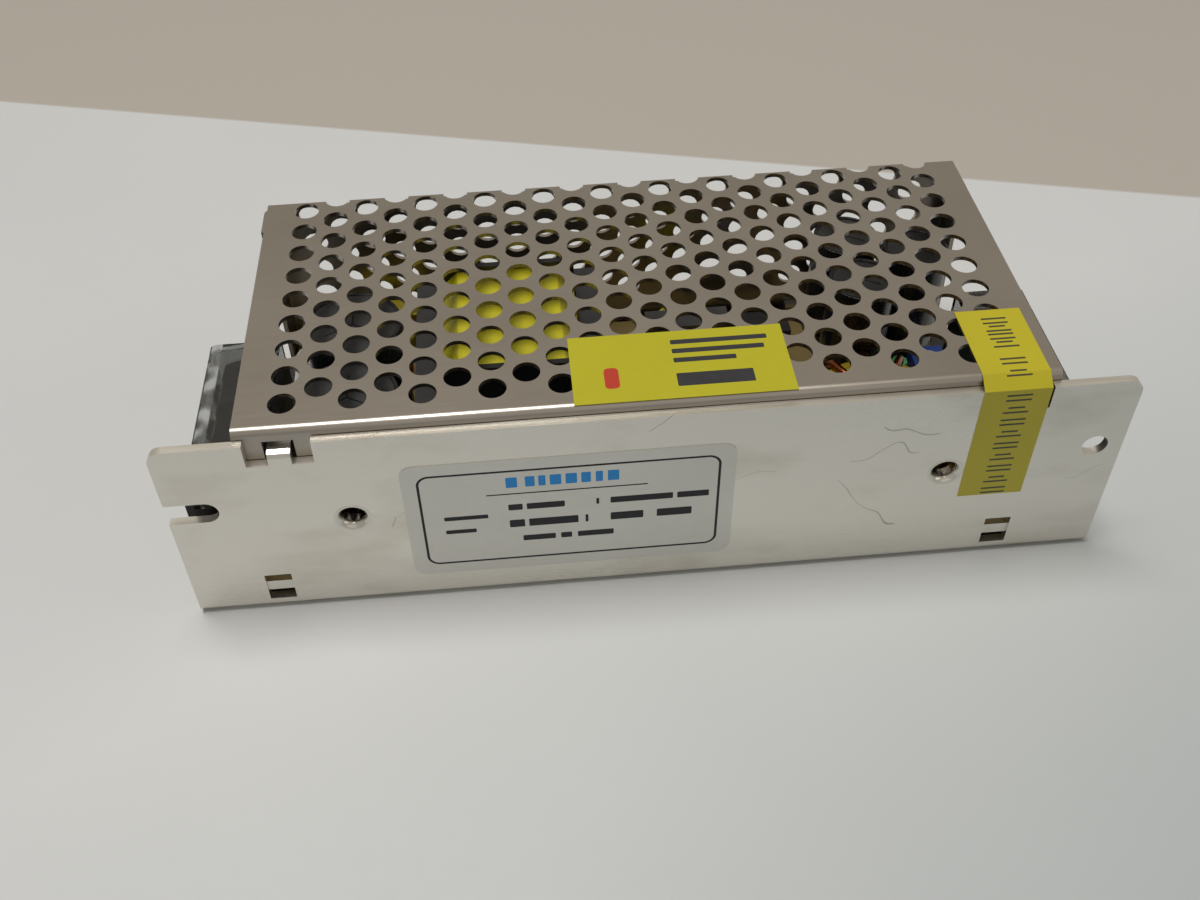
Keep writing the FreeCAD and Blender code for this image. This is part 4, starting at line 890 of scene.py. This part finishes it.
def one_can(name, foot, radius, height, sizes):
    """A can with its neck and well, and its top in the well."""
    x, y, z = foot
    flats = sizes.can_flats
    can = rod(name, (x, y, z + height / 2), radius, height, segments=flats, material="sleeve")
    carve(can, rod("well", (x, y, z + height), radius - WELL_INSET, WELL_DEPTH, segments=flats))
    carve(can, torus((x, y, z + NECK_HEIGHT), radius + NECK_OUT, NECK_RADIUS, flats, sides=10))
    soften(can, mm(sizes.can_rim), segments=3, angle=50)
    plate = rod("can_top", (x, y, z + height - PLATE_DROP), radius - PLATE_INSET,
                PLATE_SHEET, segments=flats, material="can_top")
    for turn in range(3):
        score = block("score", (0, -SCORE_WIDTH, -SCORE_REACH),
                      (radius * SCORE_SHARE, SCORE_WIDTH, SCORE_REACH))
        score.rotation_euler = (0, 0, math.radians(90 + 120 * turn))
        score.location = (x * MM, y * MM, (z + height - SCORE_DROP) * MM)
        carve(plate, settle(score))
    smooth(plate)
    return join(name, can, plate)


# Node, material, rounding, its segments
PARTS = (
    ("x_capacitor", "film_box", 0.6, 3),
    ("y_capacitors", "disc", 0.7, 3),
    ("thermistor", "thermistor", 0.7, 3),
    ("bridge_rectifier", "package", 0.4, 2),
    ("control_chip", "package", 0.2, 2),
    ("fuse", "fuse", 0.3, 2),
    ("voltage_trimmer", "trimmer", 0.25, 2),
    ("trimmer_rotor", "rotor", 0.15, 2),
    ("indicator_lamp", "lamp", 0.4, 3),
    ("power_transistor_1", "package", 0.25, 2),
    ("power_transistor_2", "package", 0.25, 2),
    ("output_rectifier", "package", 0.25, 2),
    ("insulating_pads", "pad", 0.0, 2),
    ("transistor_screws", "zinc", 0.3, 2),
)


def make_parts():
    """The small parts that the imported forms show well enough."""
    for node, material, edge, segments in PARTS:
        dress(node, material, edge, segments)


# Label, middle of the ring, core's material and slot, hole's radius as a share of the ring's
# width, reach of a turn's inner leg, turns
CHOKES = (
    ("output_choke", (44.0, -13.0), "powder", "powder_core", 0.277, 6.0, 12),
    ("input_choke", (-48.0, 16.7), "ferrite", "ferrite", 0.25, 1.9, 8),
)
WIRE_SHARE, WIRE_GAP, WIRE_CORNER = 0.46, 0.02, 1.2


def make_chokes(sizes):
    """Ring cores, each wound with separate turns of round wire."""
    for label, centre, material, slot, hole, reach, count in CHOKES:
        core = ring_core(label + "_core", centre, hole, material, sizes)
        place_piece(core, CASE, slot, label + "_core")
        turn = wire_turn(label, centre, centre[0] + reach, sizes)
        winding = ring_copies(turn, centre + (0,), count, label + "_winding_round")
        place_piece(smooth(winding, 60), CASE, "enamelled_copper", label + "_winding")


def ring_core(node, centre, hole, material, sizes):
    """A rounded ring. hole is its hole's radius as a share of its width."""
    low, high = corners(node)
    width = high[0] - low[0]
    middle = (centre[0], centre[1], (low[2] + high[2]) / 2)
    ring = rod(node + "_round", middle, width / 2 - 0.05, high[2] - low[2],
               segments=sizes.ring_flats, material=material)
    carve(ring, rod("hole", middle, width * hole, 40, segments=48))
    return soften(ring, mm(sizes.ring_edge), segments=4, angle=50)


def wire_turn(label, centre, inner, sizes):
    """One closed turn of wire around the ring's section, at the ring's +X side."""
    core_low, _ = corners(label + "_core")
    low, high = corners(label + "_winding")
    radius = (core_low[2] - low[2]) * WIRE_SHARE
    outer = high[0] - radius
    floor, roof = low[2] + radius + WIRE_GAP, high[2] - radius - WIRE_GAP
    points = [
        (outer, floor + WIRE_CORNER), (outer, roof - WIRE_CORNER), (outer - WIRE_CORNER, roof),
        (inner + WIRE_CORNER, roof), (inner, roof - WIRE_CORNER), (inner, floor + WIRE_CORNER),
        (inner + WIRE_CORNER, floor), (outer - WIRE_CORNER, floor),
    ]
    data = bpy.data.curves.new(label + "_turn", "CURVE")
    data.dimensions = "3D"
    line = data.splines.new("POLY")
    line.points.add(len(points) - 1)
    for point, (x, z) in zip(line.points, points):
        point.co = (x * MM, centre[1] * MM, z * MM, 1)
    line.use_cyclic_u = True
    data.bevel_depth = radius * MM
    data.bevel_resolution = sizes.wire_resolution
    turn = bpy.data.objects.new(label + "_turn", data)
    bpy.context.collection.objects.link(turn)
    only(turn)
    bpy.ops.object.convert(target="MESH")
    turn = bpy.context.active_object
    turn.data.materials.append(MATERIALS["copper"])
    return turn


def make_labels(sizes):
    """The two yellow labels, and the side label as a film with round corners."""
    dress("cover_label", "sticker")
    dress("seal_strip", "strip")
    low, high = corners("nameplate_label")
    middle = [(low[0] + high[0]) / 2 * MM, high[1] * MM, (low[2] + high[2]) / 2 * MM]
    bpy.ops.mesh.primitive_plane_add(size=1, location=middle, rotation=(math.pi / 2, 0, 0))
    bpy.context.active_object.scale = ((high[0] - low[0]) * MM, (high[2] - low[2]) * MM, 1)
    film = edit(made("side_label", "nameplate"), bpy.ops.mesh.bevel,
                offset=sizes.label_corner, segments=6, affect="VERTICES")
    apply(film, "SOLIDIFY", thickness=(high[1] - low[1]) * MM, offset=1)
    place_piece(film, CASE, "pale_label", "nameplate_label")


# Stage. The camera, and the line where the table ends in the picture, are fitted to the
# photograph, in metres

CAMERA_PLACE = (-0.0197, -0.1704, 0.1844)
CAMERA_AIM = (0.04703, 0.73638, -0.67493)
CAMERA_ROLL = math.radians(-1.626)
CAMERA_LENS, CAMERA_SENSOR = 37.854, 36
CAMERA_SHIFT = (0.0133, -0.085)
TABLE_END, TABLE_END_SLOPE, TABLE_END_BLUR = 0.1074, 0.2623, 0.001
FLOOR_SIZE = 6
LIGHT_TARGET = (0, 0, 20)
# Place and width in mm, colour
LIGHTS = {
    "key": ((-150, 30, 1050), 460, (1.0, 0.985, 0.955)),
    "fill": ((60, -620, 420), 620, (0.97, 0.98, 1.0)),
    "side": ((520, -60, 320), 360, (1, 1, 1)),
}
ROOM_TINT = (1.0, 0.99, 0.96)


def area_light(name, power):
    """A square soft light that looks at the object."""
    place, size, colour = LIGHTS[name]
    bpy.ops.object.light_add(type="AREA", location=metres(place))
    lamp = bpy.context.active_object
    lamp.name = name
    lamp.data.size = size * MM
    lamp.data.energy = power
    lamp.data.color = colour
    lamp.rotation_mode = "QUATERNION"
    lamp.rotation_quaternion = (Vector(LIGHT_TARGET) - Vector(place)).to_track_quat("-Z", "Y")


def table_material(stage):
    """A matt table with a painted shadow, darker and cooler towards the front right, that ends in a
    warm grey ground.
    """
    material, tree, shader, place = new_material("matt white table")
    split = add_node(tree, "SeparateXYZ", {"Vector": place})
    # Painted shadow: the table's colour turns darker and cooler towards the front right, with soft
    # random clouds
    slant = maths(tree, "SUBTRACT", maths(tree, "MULTIPLY", (split, "X"), 0.5), (split, "Y"))
    shade = between(tree, slant, from_low=0.01, from_high=0.16)
    cloud = maths(tree, "MULTIPLY_ADD", noise(tree, place, size=60), 0.2, shade)
    table = blend(tree, cloud, list(stage.table), list(stage.table_painted_shadow))
    line = maths(tree, "MULTIPLY_ADD", (split, "X"), TABLE_END_SLOPE, (split, "Y"))
    behind = between(tree, line, from_low=TABLE_END, from_high=TABLE_END + TABLE_END_BLUR)
    connect(tree, shader, Base_Color=blend(tree, behind, table, list(stage.ground)), IOR=1.5,
            Roughness=between(tree, noise(tree, place, size=3), low=0.42, high=0.5))
    return material


def make_world(stage):
    """Even room light, and a warm grey where the camera or a reflection sees past the ground."""
    world = bpy.data.worlds.new("pale room")
    world.use_nodes = True
    tree = world.node_tree
    path = add_node(tree, "LightPath")
    seen = maths(tree, "MAXIMUM", (path, "Is Camera Ray"), (path, "Is Glossy Ray"))
    room = [stage.room_light * value for value in ROOM_TINT] + [1.0]
    shown = blend(tree, seen, room, list(stage.backdrop))
    tree.links.new(shown[0].outputs[shown[1]], tree.nodes["Background"].inputs["Color"])
    bpy.context.scene.world = world


def make_stage(stage):
    """The table and the ground behind it, soft lights, and the camera."""
    bpy.ops.mesh.primitive_plane_add(size=FLOOR_SIZE)
    table = made("table")
    table.data.materials.append(table_material(stage))
    area_light("key", stage.key_power)
    area_light("fill", stage.fill_power)
    area_light("side", stage.side_power)
    make_world(stage)
    bpy.context.scene.view_settings.view_transform = "Standard"
    place_camera()


def place_camera():
    """The photograph's viewpoint, above the near side wall and turned a little on its axis."""
    bpy.ops.object.camera_add(location=CAMERA_PLACE)
    camera = bpy.context.active_object
    camera.rotation_mode = "QUATERNION"
    level = Vector(CAMERA_AIM).to_track_quat("-Z", "Y")
    camera.rotation_quaternion = level @ Quaternion((0, 0, 1), CAMERA_ROLL)
    camera.data.lens = CAMERA_LENS
    camera.data.sensor_width = CAMERA_SENSOR
    camera.data.shift_x, camera.data.shift_y = CAMERA_SHIFT
    camera.data.clip_start = 0.001
    bpy.context.scene.camera = camera


# Add-on

class SUPPLY_OT_materials(bpy.types.Operator):
    """Make the materials that the pieces take"""
    bl_idname = "supply.materials"
    bl_label = "Materials"

    def execute(self, context):
        make_materials()
        return {"FINISHED"}


class SUPPLY_OT_cover(bpy.types.Operator):
    """Build the perforated cover"""
    bl_idname = "supply.cover"
    bl_label = "Cover"

    def execute(self, context):
        make_cover(context.scene.supply_sizes)
        return {"FINISHED"}


class SUPPLY_OT_chassis(bpy.types.Operator):
    """Finish the folded chassis and line its side holes"""
    bl_idname = "supply.chassis"
    bl_label = "Chassis"

    def execute(self, context):
        make_chassis(context.scene.supply_sizes)
        return {"FINISHED"}


class SUPPLY_OT_terminals(bpy.types.Operator):
    """Finish the terminal blocks and clear covers, and build their screws"""
    bl_idname = "supply.terminals"
    bl_label = "Terminals"

    def execute(self, context):
        make_terminals(context.scene.supply_sizes)
        return {"FINISHED"}


class SUPPLY_OT_board(bpy.types.Operator):
    """Finish the board and build the screws of board and cover"""
    bl_idname = "supply.board"
    bl_label = "Board"

    def execute(self, context):
        make_board(context.scene.supply_sizes)
        return {"FINISHED"}


class SUPPLY_OT_wound_parts(bpy.types.Operator):
    """Finish the transformers and build the ring chokes"""
    bl_idname = "supply.wound_parts"
    bl_label = "Wound parts"

    def execute(self, context):
        make_transformers(context.scene.supply_sizes)
        make_chokes(context.scene.supply_sizes)
        return {"FINISHED"}


class SUPPLY_OT_cans(bpy.types.Operator):
    """Build the round capacitors"""
    bl_idname = "supply.cans"
    bl_label = "Round capacitors"

    def execute(self, context):
        make_cans(context.scene.supply_sizes)
        return {"FINISHED"}


class SUPPLY_OT_parts(bpy.types.Operator):
    """Finish the small parts on the board and the flat packages on the side wall"""
    bl_idname = "supply.parts"
    bl_label = "Small parts"

    def execute(self, context):
        make_parts()
        return {"FINISHED"}


class SUPPLY_OT_labels(bpy.types.Operator):
    """Finish the yellow labels and build the side label"""
    bl_idname = "supply.labels"
    bl_label = "Labels"

    def execute(self, context):
        make_labels(context.scene.supply_sizes)
        return {"FINISHED"}


class SUPPLY_OT_stage(bpy.types.Operator):
    """Build the table, lights and camera"""
    bl_idname = "supply.stage"
    bl_label = "Stage"

    def execute(self, context):
        make_stage(context.scene.supply_looks)
        return {"FINISHED"}


OPERATORS = (SUPPLY_OT_materials, SUPPLY_OT_cover, SUPPLY_OT_chassis, SUPPLY_OT_terminals,
             SUPPLY_OT_board, SUPPLY_OT_wound_parts, SUPPLY_OT_cans, SUPPLY_OT_parts,
             SUPPLY_OT_labels, SUPPLY_OT_stage)


class SUPPLY_PT_panel(bpy.types.Panel):
    """Build buttons and settings"""
    bl_idname = "SUPPLY_PT_panel"
    bl_label = "Power supply"
    bl_space_type = "VIEW_3D"
    bl_region_type = "UI"
    bl_category = "Power supply"

    def draw(self, context):
        for operator in OPERATORS:
            self.layout.operator(operator.bl_idname)
        for name, group in GROUPS.items():
            box = self.layout.box()
            for setting in group.__annotations__:
                box.prop(getattr(context.scene, name), setting)


GROUPS = {"supply_sizes": SupplySizes, "supply_colours": SupplyColours,
          "supply_looks": SupplyStage}
CLASSES = (*GROUPS.values(), *OPERATORS, SUPPLY_PT_panel)


def register():
    for item in CLASSES:
        bpy.utils.register_class(item)
    for name, group in GROUPS.items():
        setattr(bpy.types.Scene, name, bpy.props.PointerProperty(type=group))


def unregister():
    for name in GROUPS:
        delattr(bpy.types.Scene, name)
    for item in reversed(CLASSES):
        bpy.utils.unregister_class(item)


def main():
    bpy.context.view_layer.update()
    register()
    supply = bpy.ops.supply
    for build in (supply.materials, supply.cover, supply.chassis, supply.terminals, supply.board,
                  supply.wound_parts, supply.cans, supply.parts, supply.labels, supply.stage):
        build()


if __name__ == "__main__":
    main()
